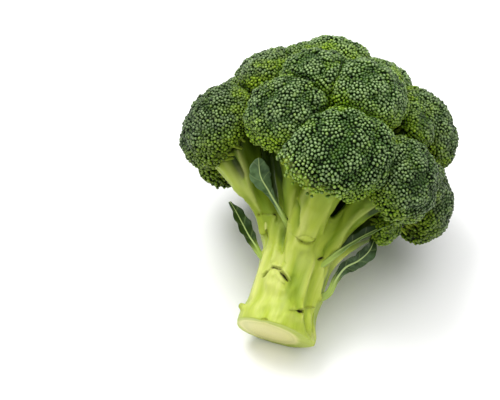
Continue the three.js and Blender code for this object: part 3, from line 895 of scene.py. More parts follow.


# Grooves and ridges left by trimmed leaves, and the long ridges that run up into the branches.
# Pale tones on the marks are painted highlights on ridges, pads and a slit; dark tones in hollows and corners
# are painted shade.
MARKS = (
    # The roof-shaped scar, with the pad under it; its raised edges and pads carry painted highlights, and the
    # shallow hollow beside it painted shade.
    Mark(((-14.9, -12.4, 26), (-13.5, -14, 27.8), (-12.1, -15.6, 29.4)), 0.6, -1.1, 0.7),
    Mark(((-7.3, -18.3, 30.2), (-4.8, -18.9, 28.6), (-2.1, -19.2, 26.7)), 0.8, -1.5, 1),
    Mark(((-12, -15, 31.6), (-9.7, -16.4, 31.9), (-7.5, -17.8, 32)), 0.7, -0.9, 0.72, taper=0.4),
    Mark(((-10, -16.5, 29.8), (-9.6, -17, 27.4)), 1.6, 0.9, 0, 0.3),
    Mark(
        ((-14.9, -12.4, 26), (-12.8, -14.8, 29.6), (-9.8, -16.4, 31.6), (-7.2, -18.1, 31), (-2.1, -19.2, 26.7)),
        0.75, -0.6, 0.4, taper=0.4,
    ),
    Mark(((-15.4, -12, 27.6), (-13.6, -13.9, 29.6)), 0.8, 0.8, 0, 0.35),
    Mark(((-12.4, -14.8, 33.2), (-9.7, -16.4, 33.6), (-6.8, -17.9, 33.4)), 0.9, 0.9, 0, 0.3),
    Mark(((-6.2, -18.6, 31.4), (-3.4, -19.2, 29.8), (-0.8, -19.4, 27.8)), 0.9, 1, 0, 0.3),
    Mark(((-8.6, -17.5, 28.4), (-5.8, -18.6, 26.8), (-3.4, -19, 25.2)), 1, 0.8, 0, 0.2),
    Mark(((-11, -15.5, 23), (-7, -17.6, 22.5), (-2.5, -18.9, 21)), 4, 1.5, 0, 0.25),
    Mark(((-11, -16.7, 10.5), (-7.4, -18, 12.5), (-2.5, -19.6, 13.9)), 3.4, 1, 0, 0.2),
    Mark(((0.5, -19.4, 30.9), (3.5, -18.8, 24.8), (2.8, -19.1, 17.9)), 3, -1, painted_shade=0.08),
    # The eyelid-shaped scar, with painted highlights on the raised lid and the pad under it.
    Mark(
        ((-8.5, -19.7, 52), (-4.8, -22, 50.1), (-1.9, -24, 51.5), (1.3, -24, 52.4), (5.8, -21.8, 52.3)),
        0.5, -0.35, 0.08, taper=0.5,
    ),
    Mark(((-4.9, -21.9, 50), (-0.6, -22.4, 47.9), (3.7, -21.7, 50), (6, -21.8, 52.3)), 0.8, -0.9, 0.42),
    Mark(((-1.6, -22.2, 48.3),), 0.8, -0.5, 0.6),
    Mark(((5, -21.7, 51),), 0.8, -0.5, 0.6),
    Mark(((-2.4, -23, 50.3), (0.6, -23.2, 50.4), (3, -22.8, 51)), 1.3, 0.8, 0, 0.2),
    Mark(((-4, -21.5, 45.5), (0, -22, 44.5), (4, -21, 45.8)), 2.6, 0.8, 0, 0.2),
    # The notch by the cut, the brown line beyond it and the trimmed facets under it, with painted highlights on
    # the raised ones.
    Mark(((7.6, -18.9, 13.5), (9.6, -17.1, 14.1), (11.2, -15.2, 15.2)), 1.05, -2.2, 1, taper=0.9),
    Mark(((3, -20.9, 12), (5.5, -20, 12.6), (8.2, -18.8, 13.6)), 0.55, -0.6, 0.14),
    Mark(((10.5, -15.4, 16.6), (13, -12.9, 18.2), (15.4, -9.8, 19.5)), 0.75, 0.7, 0.45),
    Mark(((11.6, -14.9, 13.9), (15.3, -13, 6.4), (19.2, 0.3, 1.9)), 1.2, -1, 0.1),
    Mark(((16.2, -8.8, 17.2), (18.3, -9.1, 8), (20.6, -1.7, 2)), 1.2, -1, 0.1),
    Mark(((13.9, -12.2, 15.4), (16.8, -11, 8.2)), 1.3, 0.8, 0, 0.3),
    Mark(((2, -21, 9), (6, -19.8, 9.5), (10, -17.5, 9)), 2.6, 0.7, 0, 0.2),
    # Stubs on the silhouette.
    Mark(((-21.2, -8.5, 8.5), (-21, -9, 9.5)), 1.7, 1.8, 0.2),
    Mark(((17.1, -8, 24.7), (17, -8, 25.7)), 1.7, 1.8, 0.25),
    # The left branch: a faint joint with a dot at each end, and a slit below it, with a pale painted line
    # beside it where light shows through.
    Mark(((-26.1, -11.3, 58.8), (-22.5, -12.6, 59.3), (-18.9, -13.1, 60.4)), 0.5, -0.5, 0.14, taper=0.3),
    Mark(((-26.1, -11.3, 58.8),), 0.7, -0.8, 0.8),
    Mark(((-18.9, -13.1, 60.4), (-18.6, -13.2, 59.6)), 0.75, -1, 0.95),
    Mark(((-20.9, -11, 51.5), (-20, -10, 49.6), (-19.2, -9.1, 47.6)), 0.65, -0.9, 0.6),
    Mark(((-22.3, -12.1, 54.8), (-21.6, -11.3, 52.8), (-20.9, -10.6, 50.9)), 0.65, 0.4, 0, 1),
    # The left branch's shoots with painted highlights along them, and the hollow where they part with painted
    # shade.
    Mark(((-27, -14.5, 59), (-35.5, -18, 65.3), (-45, -19.5, 71.3), (-55, -20.5, 79)), 2.4, 0.8, 0, 0.45),
    Mark(((-31, -17, 63.5), (-36.5, -20.5, 69), (-42, -23.5, 76.3), (-48, -26.5, 84)), 2, 0.8, 0, 0.5),
    Mark(((-40.5, -19, 73), (-46, -20, 78.5), (-51, -21, 83)), 1.8, -2, painted_shade=0.6),
    # Painted shade, in the scars' dark colour, in the corners where branches and leaves leave the stalk.
    Mark(((-14.5, -18.5, 59.4), (-13, -19.1, 58.8), (-11.6, -19.5, 58.4)), 0.9, -1.2, 0.95),
    Mark(((10, -14.9, 43.6), (11.5, -14.6, 44.6), (13.2, -14.3, 45.8)), 0.85, -1.2, 0.9),
    Mark(((-15.5, -6, 34.5), (-15.2, -6.6, 33.6)), 0.9, -0.9, 0.9),
    # The trunk's ridges with painted highlights, and the hollows on both sides of the right branch with painted
    # shade.
    Mark(
        ((13.8, -14.2, 45.9), (12.7, -18.6, 53.1), (12.3, -22.4, 61.7), (13.9, -25.5, 69.5)),
        2.6, -1.9, painted_shade=0.16,
    ),
    Mark(((18.1, -6.9, 46.6), (17.7, -19.1, 56.4), (20, -27.5, 66.5), (23.9, -34.4, 73.4)), 1.6, 1.1, 0, 0.3),
    Mark(((22.2, -8.5, 54.6), (25.1, -13.4, 64.8), (30.1, -16.8, 72.5)), 3.6, -1.6, painted_shade=0.4),
    Mark(((20.3, -22.3, 55.4), (26.2, -27.6, 63), (33.2, -34, 73), (40, -38, 80)), 3, -1.5, painted_shade=0.8),
    Mark(((16.6, -24, 58), (22.3, -29.6, 66), (29, -36.4, 76)), 1.4, 1, 0, 0.4),
    Mark(
        ((-10.1, -18.1, 55.3), (-11.8, -22.7, 62.7), (-13.3, -27.3, 69.5), (-13.5, -29.1, 73)),
        1.6, 1.3, 0, 0.3,
    ),
    Mark(((-5.5, -24.1, 54.3), (-7.7, -27.7, 61.7), (-9.4, -24.7, 68.7)), 1.5, -1.5, painted_shade=0.3),
    Mark(((-2.6, -26.1, 54.7), (-6.2, -31, 62.5), (-8.1, -34.2, 69.4), (-7.5, -42.1, 73)), 2.1, 1.2, 0, 0.4),
    Mark(((7.9, -18.5, 56.1), (5.9, -31.9, 63.5), (5.7, -38.4, 68.4)), 2, 0.9, 0, 0.15),
    Mark(
        ((-15, -14.7, 58), (-13.5, -12.5, 50.4), (-12.7, -14.1, 41.7), (-12.5, -14.3, 33.8)),
        1.7, 1.5, 0, 0.25,
    ),
    Mark(((-18.8, -13.1, 60), (-18.4, -12.5, 51.6), (-17.4, -10.6, 43.8), (-18.2, -4, 37.5)), 1.6, 1.2, 0, 0.2),
    Mark(((-12.7, -18, 56.7), (-11, -13.7, 49.2), (-9.6, -16.3, 40)), 1.6, -1.7, painted_shade=0.25),
    # Long ridges with painted highlights, and hollows.
    Mark(((-9.3, -19.5, 56.8), (-8.1, -19, 47.2), (-5.8, -18, 36.7)), 1.9, 1.4, 0, 0.35),
    Mark(((13.2, -13, 41.2), (14.7, -10.6, 33.5), (16.3, -8.9, 24.3)), 1.9, 1.3, 0, 0.3),
    Mark(((-16.7, -11.3, 44.7), (-16.4, -9.6, 35), (-16.4, -9.6, 24.8), (-16.9, -9.6, 14)), 1.9, 1.2, 0, 0.4),
    Mark(((-11.5, -14.3, 46), (-9, -16.5, 33.9)), 2.4, -1.5),
    Mark(((1, -20, 44), (1.5, -19.5, 34), (0.5, -19.5, 24)), 2.8, -1.2),
    Mark(((6.5, -18.5, 42), (7, -18, 32), (7.5, -17, 21)), 1.8, 0.9, 0, 0.3),
    Mark(((10.8, -15, 38), (11.5, -14.5, 29), (12.5, -14, 22)), 2, -0.9),
    Mark(((-3, -19.8, 22), (-1, -20, 14), (-2, -21, 7)), 2.2, 0.8, 0, 0.35),
    Mark(((-12, -16, 20), (-11, -17, 12), (-12, -18, 5)), 2.4, -0.8),
    Mark(((-9.5, -18.6, 3.6), (-7.8, -19.5, 3.9), (-6, -20.2, 3.9)), 0.6, -0.4, 0.5),
    # Scars on the side that the head lies on and behind, with a painted highlight on the pad under one.
    Mark(lid(120, 20, 8, 3.5), 0.8, -0.9, 0.6),
    Mark(lid(120, 16, 6, 1.5), 2.4, 0.9, 0, 0.2),
    Mark(lid(60, 36, 8, -2.5), 0.8, -0.9, 0.6),
    Mark(lid(25, 14, 6, 2.5), 0.8, -0.9, 0.5),
    Mark(lid(165, 38, 7, 2.5), 0.8, -0.9, 0.5),
)


@dataclass(frozen=True)
class Twig:
    """A side shoot of a branch: the line it follows, and its thickness at the foot and at the tip."""

    through: tuple[Spot, ...]
    foot: float
    tip: float


TWIGS = (
    Twig(((-20, -7.5, 50), (-27, -10, 60), (-35.5, -13.5, 66.5), (-45, -15, 72.5), (-57, -16, 81)), 3.2, 5.2),
    Twig(((-20, -8.5, 52), (-29, -12.5, 62), (-36.5, -16, 70), (-42, -19, 77.5), (-50, -22.5, 87)), 3.2, 4.8),
)


@dataclass
class Stalk:
    """The fluted stalk with its branches, leaf scars and cut end.

    `voxel` is the size of its mesh. Marks slimmer than `sharp` get a mesh cut finer within `fine` of them.
    """

    plan: HeadPlan
    voxel: float = 1.12
    sharp: float = 1.3
    fine: float = 2.9
    scars: tuple[Scar, ...] = (
        Scar(243, 28, 8, 1.8),
        Scar(288, 13, 7, 1.8),
        Scar(200, 6, 4, 2.4),
        Scar(345, 25, 5, 1.8),
        Scar(272, 48, 7, 1.4),
        Scar(120, 20, 8, 1.8),
        Scar(60, 36, 8, 1.8),
    )

    def _radius(self, height: Array, turn: Array) -> Array:
        """The stalk's radius at heights and turns: waisted, fluted and knuckled at the leaf scars."""
        waist = 1 - 0.13 * smooth(height, 0, 17) + 0.10 * smooth(height, 32, 54)
        dome = (1 - 0.5 * smooth(height, 38, 66)) * np.sqrt(1 - 0.98 * smooth(height, 58, STALK_TALL) ** 2)
        flutes = 1 + 0.03 * np.cos(np.radians(5 * turn + 40)) + 0.02 * np.cos(np.radians(3 * turn - 25))
        knuckles = np.zeros_like(height)
        for scar in self.scars:
            around = np.radians((turn - scar.turn + 900) % 360 - 180) * STALK_RADIUS
            along = height - scar.height
            knuckles += scar.proud * np.exp(-((around / scar.wide) ** 2) - (along / (0.5 * scar.wide)) ** 2)
        return STALK_RADIUS * waist * dome * flutes + knuckles

    def _trunk(self) -> Piece:
        """The main stalk, which starts a little below the cut so that the cut can be made clean."""
        below = 5.0

        def shape(points: Array) -> Array:
            """Gives the tube the stalk's radius at each height and turn."""
            along, turn, out = polar(points)
            height = along * (STALK_TALL + below) - below
            radius = self._radius(np.maximum(height, 0), np.degrees(turn)) * out
            y = radius * np.sin(turn)
            slant = math.tan(CUT_SLANT) * (STALK_RADIUS - y) * (1 - smooth(height, 0, SLANT_ENDS))
            return self.plan.to_row(np.stack((radius * np.cos(turn), y, height + slant), -1))

        return Shaper.move(Shaper.tube("trunk", 96, 64), shape)

    def line(self, dome: Dome) -> Line:
        """The line that a floret's branch follows, from inside the stalk to inside the floret."""
        turn, share = dome.growth.root
        root = heading(turn, 90) * share * (STALK_RADIUS - dome.thick)
        end = dome.middle - dome.grows * SEAT * dome.radius
        parts = np.array((root[0], root[1], FORK[2]))
        low = np.array((0.8 * root[0], 0.8 * root[1], 0.4 * FORK[2]))
        return Line(np.array((low, parts, (parts + end) / 2 + (0, 0, 2), end)))

    def _limb(self, line: Line, radius_at: Callable[[Array, Array], Array]) -> Piece:
        """A limb along a line, its radius given by a function of the way along and the turn."""

        def shape(points: Array) -> Array:
            """Bends the tube along the line."""
            along, turn, out = polar(points)
            side, across = line.beside(along, (0.31, 0.22, 0.93))
            way = np.cos(turn)[:, None] * side + np.sin(turn)[:, None] * across
            return self.plan.to_row(line.at(along) + (radius_at(along, turn) * out)[:, None] * way)

        return Shaper.move(Shaper.tube("limb", 42, 30), shape)

    def _branch(self, dome: Dome) -> Piece:
        """One branch, that spreads out under its floret in deep flutes."""
        spread = max(0.0, FLARE * dome.radius - dome.thick)
        lean = dome.growth.turn
        flutes = 7 if dome.thick > 8 else 6

        def radius_at(along: Array, turn: Array) -> Array:
            """Slim in the middle, wide and fluted at the end."""
            radius = dome.thick * (0.8 + 0.2 * smooth(along, 0, 0.3) - 0.1 * smooth(along, 0.3, 0.6))
            radius = radius + spread * smooth(along, 0.62, 1) ** 1.5
            deep = 0.06 + 0.14 * smooth(along, 0.5, 1)
            folds = np.abs(np.sin(flutes / 2 * turn + lean)) - 0.6
            return radius * (1 + deep * folds + 0.04 * np.cos(3 * turn - lean))

        return self._limb(self.line(dome), radius_at)

    def _twig(self, twig: Twig) -> Piece:
        """One side shoot, lightly fluted."""

        def radius_at(along: Array, turn: Array) -> Array:
            """Even along the shoot, with soft flutes that deepen towards its tip."""
            flutes = (0.05 + 0.1 * along) * np.cos(5 * turn + 2 * along)
            return (twig.foot + (twig.tip - twig.foot) * along**2) * (1 + flutes)

        return self._limb(Line(np.array(twig.through)), radius_at)

    def _refine(self, piece: Piece) -> None:
        """Cuts the faces near the scars' lines finer, so that they come out sharp."""
        spots = [spot for mark in MARKS if mark.half < self.sharp for spot in mark.through]
        centres = Shaper.read(piece.data.polygons, "center")
        near = np.zeros(len(centres), bool)
        for spot in self.plan.to_row(np.array(spots)):
            near |= ((centres - spot) ** 2).sum(1) < (self.fine * METRES) ** 2
        with Shaper.editing(piece, "FACE", near):
            bpy.ops.mesh.subdivide(number_cuts=2, smoothness=0.6)

    def _carve(self, piece: Piece) -> None:
        """Cuts the scars, raises the ridges and keeps what the finish reads, painted shade and highlights among
        it.
        """
        normals = Shaper.read(piece.data.vertices, "normal")
        row = Shaper.points(piece)
        head = self.plan.from_row(row)
        x, y, height = head.T
        grain = self._grain(head)
        lift, stain_and_shade, pale, painted_shade = np.zeros((4, len(head)))
        skin = normals @ self.plan.turned
        for mark in MARKS:
            spots = np.array(mark.through)
            low, high = spots.min(0) - 4 * mark.half, spots.max(0) + 4 * mark.half
            near = ((head > low) & (head < high)).all(1)
            weight = mark.weigh(head[near], skin[near])
            lift[near] += mark.raised * weight
            for tone, share in ((stain_and_shade, mark.stain_and_shade), (pale, mark.pale), (painted_shade, mark.painted_shade)):
                tone[near] = np.maximum(tone[near], share * weight)
        ridges = 1 - 2.4 * np.abs(patches(grain * (1, 1, 0.5), 7.5, 3.0))
        grooves = patches(grain * (1, 1, 0.35), 2.6)
        pads = smooth(patches(head * (1, 1, 0.55), 9.0, 8.0), 0.0, 0.5)
        lift += (1.2 * (ridges - 0.55) + 0.16 * grooves + 0.6 * pads) * smooth(height, 1, 8)
        row = row + normals * lift[:, None] * METRES
        row[:, 2] = np.maximum(row[:, 2], 0.0)
        piece.data.vertices.foreach_set("co", row.ravel())
        # Painted shade: the inner branches, deep under the crown, and those behind the right branch are painted
        # a darker green.
        inside = np.hypot(x, y) - 0.6 * (height - 60)
        inner = smooth(height, 50, 72) * (1 - smooth(inside, 8, 24))
        painted_shade_behind = smooth(y, -27, -14) * (1 - smooth(y, 0, 14))
        painted_shade_behind *= smooth(x, 17, 26) * smooth(height, 50, 62)
        # Darker and greener towards the crown, partly the stalk's own colour and partly painted shade under it;
        # ridge crests are painted lighter and grooves darker as painted highlight and shade, and the marks'
        # hollows add painted shade.
        greener_and_shade = 0.28 + 0.28 * smooth(height, 44, 84) + 0.4 * smooth(height, 66, 100) - 0.24 * (ridges - 0.5)
        greener_and_shade += 0.55 * inner + 0.6 * painted_shade_behind + painted_shade + 0.5 * smooth(height, 100, 116)
        # Painted highlights on the raised pads low on the stalk.
        pale = np.maximum(pale, 0.28 * pads * (1 - smooth(height, 44, 80)))
        Shaper.store(piece, "grain", grain)
        Shaper.store(piece, "tone", np.stack((greener_and_shade, np.clip(1.25 * stain_and_shade, 0, 1), pale), -1))

    @staticmethod
    def _grain(head: Array) -> Array:
        """Coordinates that stay nearly the same along the stalk and out along each branch."""
        x, y, height = head.T
        scale = STALK_RADIUS / (STALK_RADIUS + 50 * smooth(height, 36, 104) + 0.25 * np.maximum(height - 40, 0))
        return np.stack((x * scale, y * scale, height * 0.12), -1)

    def _cut(self, piece: Piece) -> None:
        """Cuts the end off, rounds its rim a little and gives the cut its own material slot."""
        inward = self.plan.way_to_row(np.array((0.0, math.sin(CUT_SLANT), math.cos(CUT_SLANT))))
        place = self.plan.to_row(np.array((0.0, STALK_RADIUS, 0.0)))
        middle = self.plan.to_row(np.array((0.0, 0.0, CUT_DROP)))
        with Shaper.editing(piece):
            bpy.ops.mesh.bisect(plane_co=place, plane_no=inward, use_fill=True, clear_inner=True)
            # Rings drawn in from the rim, each with how far it stands out: a rounded lip, then a faint hollow.
            for share, out in ((0.978, 0.3), (0.965, 0.12), (0.86, -0.35), (0.95, 0.2), (0.6, 0.1)):
                step = Vector(-inward * out * METRES)
                bpy.ops.mesh.extrude_region_move(TRANSFORM_OT_translate={"value": step})
                bpy.ops.transform.resize(value=(share, share, share), center_override=Vector(middle))
        # The cut's faces look out along it and lie less than 0.2 mm inside it.
        faces = piece.data.polygons
        inside = (Shaper.read(faces, "center") - place) @ inward / METRES
        is_cut = (Shaper.read(faces, "normal") @ inward < -0.7) & (inside < 0.2)
        faces.foreach_set("material_index", is_cut.astype(np.int32))

    def build(self) -> Piece:
        """Makes the whole stalk.

        Returns:
            The finished object, which stands for the CAD's stalk.
        """
        pieces = [self._trunk(), *map(self._branch, self.plan.domes), *map(self._twig, TWIGS)]
        piece = Shaper.join(pieces, "stalk_and_branches")
        Shaper.outward(piece)
        Shaper.modify(piece, "REMESH", mode="VOXEL", voxel_size=self.voxel * METRES)
        Shaper.modify(piece, "SMOOTH", factor=0.5, iterations=4)
        self._refine(piece)
        self._carve(piece)
        Shaper.paint(piece, (FleshFinish().build(), CutFinish().build(self.plan)))
        Shaper.only(piece)
        bpy.ops.object.shade_smooth()
        self._cut(piece)
        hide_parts("stalk")
        return piece


# ---- Florets ----


@dataclass
class BudField:
    """The closed buds that pack a floret's dome, laid along a spiral as they grow.

    `pitch` and `radius` are their spacing and size, `jitter` how far they stray, as a share of the pitch, `end`
    the angle from the floret's middle where they stop, `crowded` how deep in a crease, and `sunk` how far their
    middles lie under the dome's surface. `seed` starts the random draws.
    """

    pitch: float = 2.15
    radius: float = 1.06
    jitter: float = 0.32
    end: float = 122.0
    crowded: float = 0.78
    sunk: float = 0.95
    seed: int = 11

    def template(self) -> Copies:
        """One bud: a bead of 24 faces, blunt at its tip and drawn in towards its stem."""
        bud = Shaper.modify(Shaper.ball("bud", 6, 3), "TRIANGULATE")

        def shape(points: Array) -> Array:
            """Moves the two rings up, so that most faces lie on the tip, and winds them a little."""
            height, turn, _ = polar(points)
            tilt = np.degrees(np.arccos(np.clip(height, -1, 1)))
            moved = np.radians(np.interp(tilt, (0, 60, 120, 180), (0, 47, 99, 180)))
            turn = turn + 0.5 * moved
            across = 1.03 * np.sin(moved)
            return np.stack((across * np.cos(turn), across * np.sin(turn), 1.06 * np.cos(moved)), -1)

        return Copies.of(Shaper.move(bud, shape))


@dataclass
class Crown:
    """All the florets, each with its buds, the heart under them and the stems that carry them."""

    plan: HeadPlan
    buds: BudField = field(default_factory=BudField)
    heart_sides: int = 76
    heart_rings: int = 34

    def _skin(self, dome: Dome, ways: Array, sunk: Array | float) -> Array:
        """Places on a floret's clustered surface, in the head's frame."""
        raised = -sunk - dome.clusters(ways)
        return dome.middle + ways * dome.pressed(ways, self.plan.near(dome), raised)[:, None]

    def _heart(self, dome: Dome) -> Piece:
        """The body under a floret's buds, ribbed where its stems gather on the underside."""
        piece = Shaper.ball("heart", self.heart_sides, self.heart_rings)
        height, around, _ = polar(Shaper.points(piece))
        # Most of the rings lie at the rim and under it, where no buds hide them.
        ring = np.degrees(np.arccos(np.clip(height, -1, 1)))
        angle = np.interp(ring, (0, 50, 150, 180), (0, 86, 156, 180))
        long, short = dome.sides()
        flat, tall = np.sin(np.radians(angle)), np.cos(np.radians(angle))
        across = np.cos(around)[:, None] * long + np.sin(around)[:, None] * short
        ways = flat[:, None] * across + tall[:, None] * dome.grows
        ribs = 17 + int(dome.growth.turn) % 4
        ridge = 0.5 + 0.5 * np.cos(ribs * around + 1.5 * np.sin(3 * around + dome.growth.tilt))
        edge = dome.edge(ways, self.buds.end)
        under = smooth(angle, edge - 12, edge + 3)
        sunk = self.buds.sunk + 1.4 * smooth(angle, edge - 14, edge - 3)
        places = self._skin(dome, ways, sunk) - ways * (1.8 * (1 - ridge) * under)[:, None]
        Shaper.move(piece, lambda _: self.plan.to_row(places, STEM_CLEAR))
        Shaper.store(piece, "bud", np.stack((ridge, under, np.full_like(under, 0.5)), -1))
        return piece

    def _laid(self, dome: Dome, random: np.random.Generator) -> tuple[Array, Array, Array]:
        """Lays out the buds of one floret.

        Args:
            dome: The floret.
            random: Where the random draws come from.

        Returns:
            Each bud's direction, its angle from the floret's middle, and how little its neighbours press there.
        """
        pitch = self.buds.pitch
        ways = dome.spiral(pitch)
        # Buds crowd one another out of any neat row, yet leave no bare patch.
        ways = unit(ways + random.normal(0, self.buds.jitter * pitch / dome.radius, ways.shape))
        ways = dome.spread(ways, 1.06 * pitch)
        angle = dome.angle(ways)
        open_ = dome.pressed(ways, self.plan.near(dome)) / dome.free(ways)
        ragged = 9 * patches(ways * dome.radius, 5.0, 31.0) + random.normal(0, 4.5, len(ways))
        keep = (angle < dome.edge(ways, self.buds.end) + ragged) & (open_ > self.buds.crowded)
        return ways[keep], angle[keep], open_[keep]

    def _outward(self, dome: Dome, ways: Array, places: Array) -> Array:
        """The surface's own outward directions, from two neighbours of each place."""
        east = unit(np.cross(ways, unit(np.array((0.37, 0.51, -0.78)))))
        near = [unit(ways + 0.02 * way) for way in (east, np.cross(ways, east))]
        one, two = (self._skin(dome, way, self.buds.sunk) - places for way in near)
        normals = unit(np.cross(one, two))
        return normals * np.sign((normals * ways).sum(1, keepdims=True))

    def _buds(self, dome: Dome, bead: Copies, random: np.random.Generator) -> Piece:
        """All the buds of one floret."""
        ways, angle, open_ = self._laid(dome, random)
        count = len(ways)
        places = self._skin(dome, ways, self.buds.sunk)
        normals = self._outward(dome, ways, places)
        out = unit(0.6 * normals + 0.4 * ways + random.normal(0, 0.2, (count, 3)))
        side = unit(np.cross(out, unit(random.normal(0, 1, (count, 3)))))
        across = np.cross(out, side)
        loose = smooth(angle - dome.edge(ways, self.buds.end), -38, -4)
        size = self.buds.radius * (1 + random.normal(0, 0.1, count)) * (1 - 0.14 * loose)
        rise = 0.12 + random.normal(0, 0.16, count) + loose * random.uniform(0, 2.3, count)
        stretched = 1 + random.uniform(-0.16, 0.16, count)
        shares = np.stack((stretched, 1 / stretched, np.ones(count)), -1)
        x, y, z = np.moveaxis(bead.points[None] * (size[:, None] * shares)[:, None], -1, 0)[..., None]
        placed = x * side[:, None] + y * across[:, None] + z * out[:, None]
        placed = self.plan.to_row(placed + (places + rise[:, None] * out)[:, None], BUD_CLEAR)
        patch = smooth(patches(places, 9.0, 5.0), 0.1, 0.5)
        # The further in from the crown's surface and the nearer the stalk a bud sits, the younger it is.
        deep = CROWN_RADIUS - np.linalg.norm(places - HUB, axis=1)
        young = smooth(deep, 11, 27) + 0.5 * smooth(angle, 88, 112) + 0.5 * patch * smooth(deep, 4, 16)
        young += 0.7 * smooth(angle, 50, 84) * smooth(-ways[:, 2], 0.15, 0.8) + random.normal(0, 0.14, count)
        young += 0.7 * (dome.growth.name == "floret_small")
        # Loose buds at the rim get less of the painted shade at their base, so their sides are painted lighter.
        height = np.broadcast_to((bead.points[:, 2] + 1) / 2, (count, len(bead.points)))
        height = height + 0.5 * (1 - height) * loose[:, None]
        # Painted shade: florets out to the sides are painted a little darker.
        side_shade = 0.12 - 0.62 * float(smooth(abs(dome.middle[0]), 5, 60))
        each = np.stack((np.zeros(count), np.clip(young, 0, 1), random.uniform(0.08, 0.92, count) + side_shade), -1)
        values = np.repeat(each[:, None], len(bead.points), 1)
        # Painted shade: buds in the valleys between clusters, and in the creases where neighbours press, are
        # painted darker with less bloom.
        low = smooth(dome.clusters(ways), 1.4, 3.6)
        values[:, :, 0] = height * ((0.74 + 0.26 * smooth(open_, 0.8, 0.97)) * (1 - 0.16 * low))[:, None]
        return bead.mesh("buds", placed, values)

    def _stems(self, dome: Dome, random: np.random.Generator) -> Piece | None:
        """The thick little stems that fan from a branch's end to the rim of its floret."""
        count = max(8, round(0.8 * dome.radius))
        long, short = dome.sides()
        turn = 2 * np.pi * (np.arange(count) + random.uniform(-0.3, 0.3, count)) / count
        tilt = np.radians(random.uniform(98, 119, count))
        ring = np.cos(turn)[:, None] * long + np.sin(turn)[:, None] * short
        ways = np.cos(tilt)[:, None] * dome.grows + np.sin(tilt)[:, None] * ring
        keep = dome.pressed(ways, self.plan.near(dome)) / dome.free(ways) > 0.82
        if not keep.any():
            return None
        tops = self._skin(dome, ways, self.buds.sunk)
        pieces = []
        for top, way, out in zip(tops[keep], ways[keep], ring[keep]):
            foot = dome.middle - dome.grows * 0.62 * dome.radius + out * dome.thick * 0.9
            knee = 0.45 * foot + 0.55 * top - dome.grows * 0.05 * dome.radius + out * 0.05 * dome.radius
            pieces.append(self._stem(np.array((foot, knee, top + 0.4 * way))))
        made = Shaper.join(pieces, "stems")
        Shaper.store(made, "bud", np.tile((0.7, 1.0, 0.5), (len(made.data.vertices), 1)))
        return Shaper.outward(made)

    def _stem(self, through: Array) -> Piece:
        """One tapered stem through three points."""
        line = Line(through)

        def shape(points: Array) -> Array:
            """Bends and tapers the tube."""
            along = points[:, 2]
            side, across = line.beside(along, (0.2, 0.9, 0.35))
            wide = (1.7 - 1.05 * along**0.7)[:, None]
            placed = line.at(along) + wide * (points[:, 0:1] * side + points[:, 1:2] * across)
            return self.plan.to_row(placed, STEM_CLEAR)

        return Shaper.move(Shaper.tube("stem", 6, 4), shape)

    def build(self) -> list[Piece]:
        """Makes every floret, each standing for its own CAD node.

        Returns:
            The finished objects.
        """
        bead = self.buds.template()
        finishes = [BudFinish().build(), HeartFinish().build()]
        made = []
        for number, dome in enumerate(self.plan.domes):
            random = np.random.default_rng(self.buds.seed + number)
            parts = [self._buds(dome, bead, random), self._heart(dome), self._stems(dome, random)]
            parts = [piece for piece in parts if piece]
            # The buds take the first finish, and the heart and the stems the second.
            for index, piece in enumerate(parts):
                Shaper.paint(piece, finishes)
                faces = piece.data.polygons
                faces.foreach_set("material_index", np.full(len(faces), min(index, 1)))
            piece = Shaper.join(parts, dome.growth.name.removeprefix("floret_") + "_buds")
            bpy.ops.object.shade_smooth()
            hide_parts(dome.growth.name)
            made.append(piece)
        return made


# ---- Leaves ----


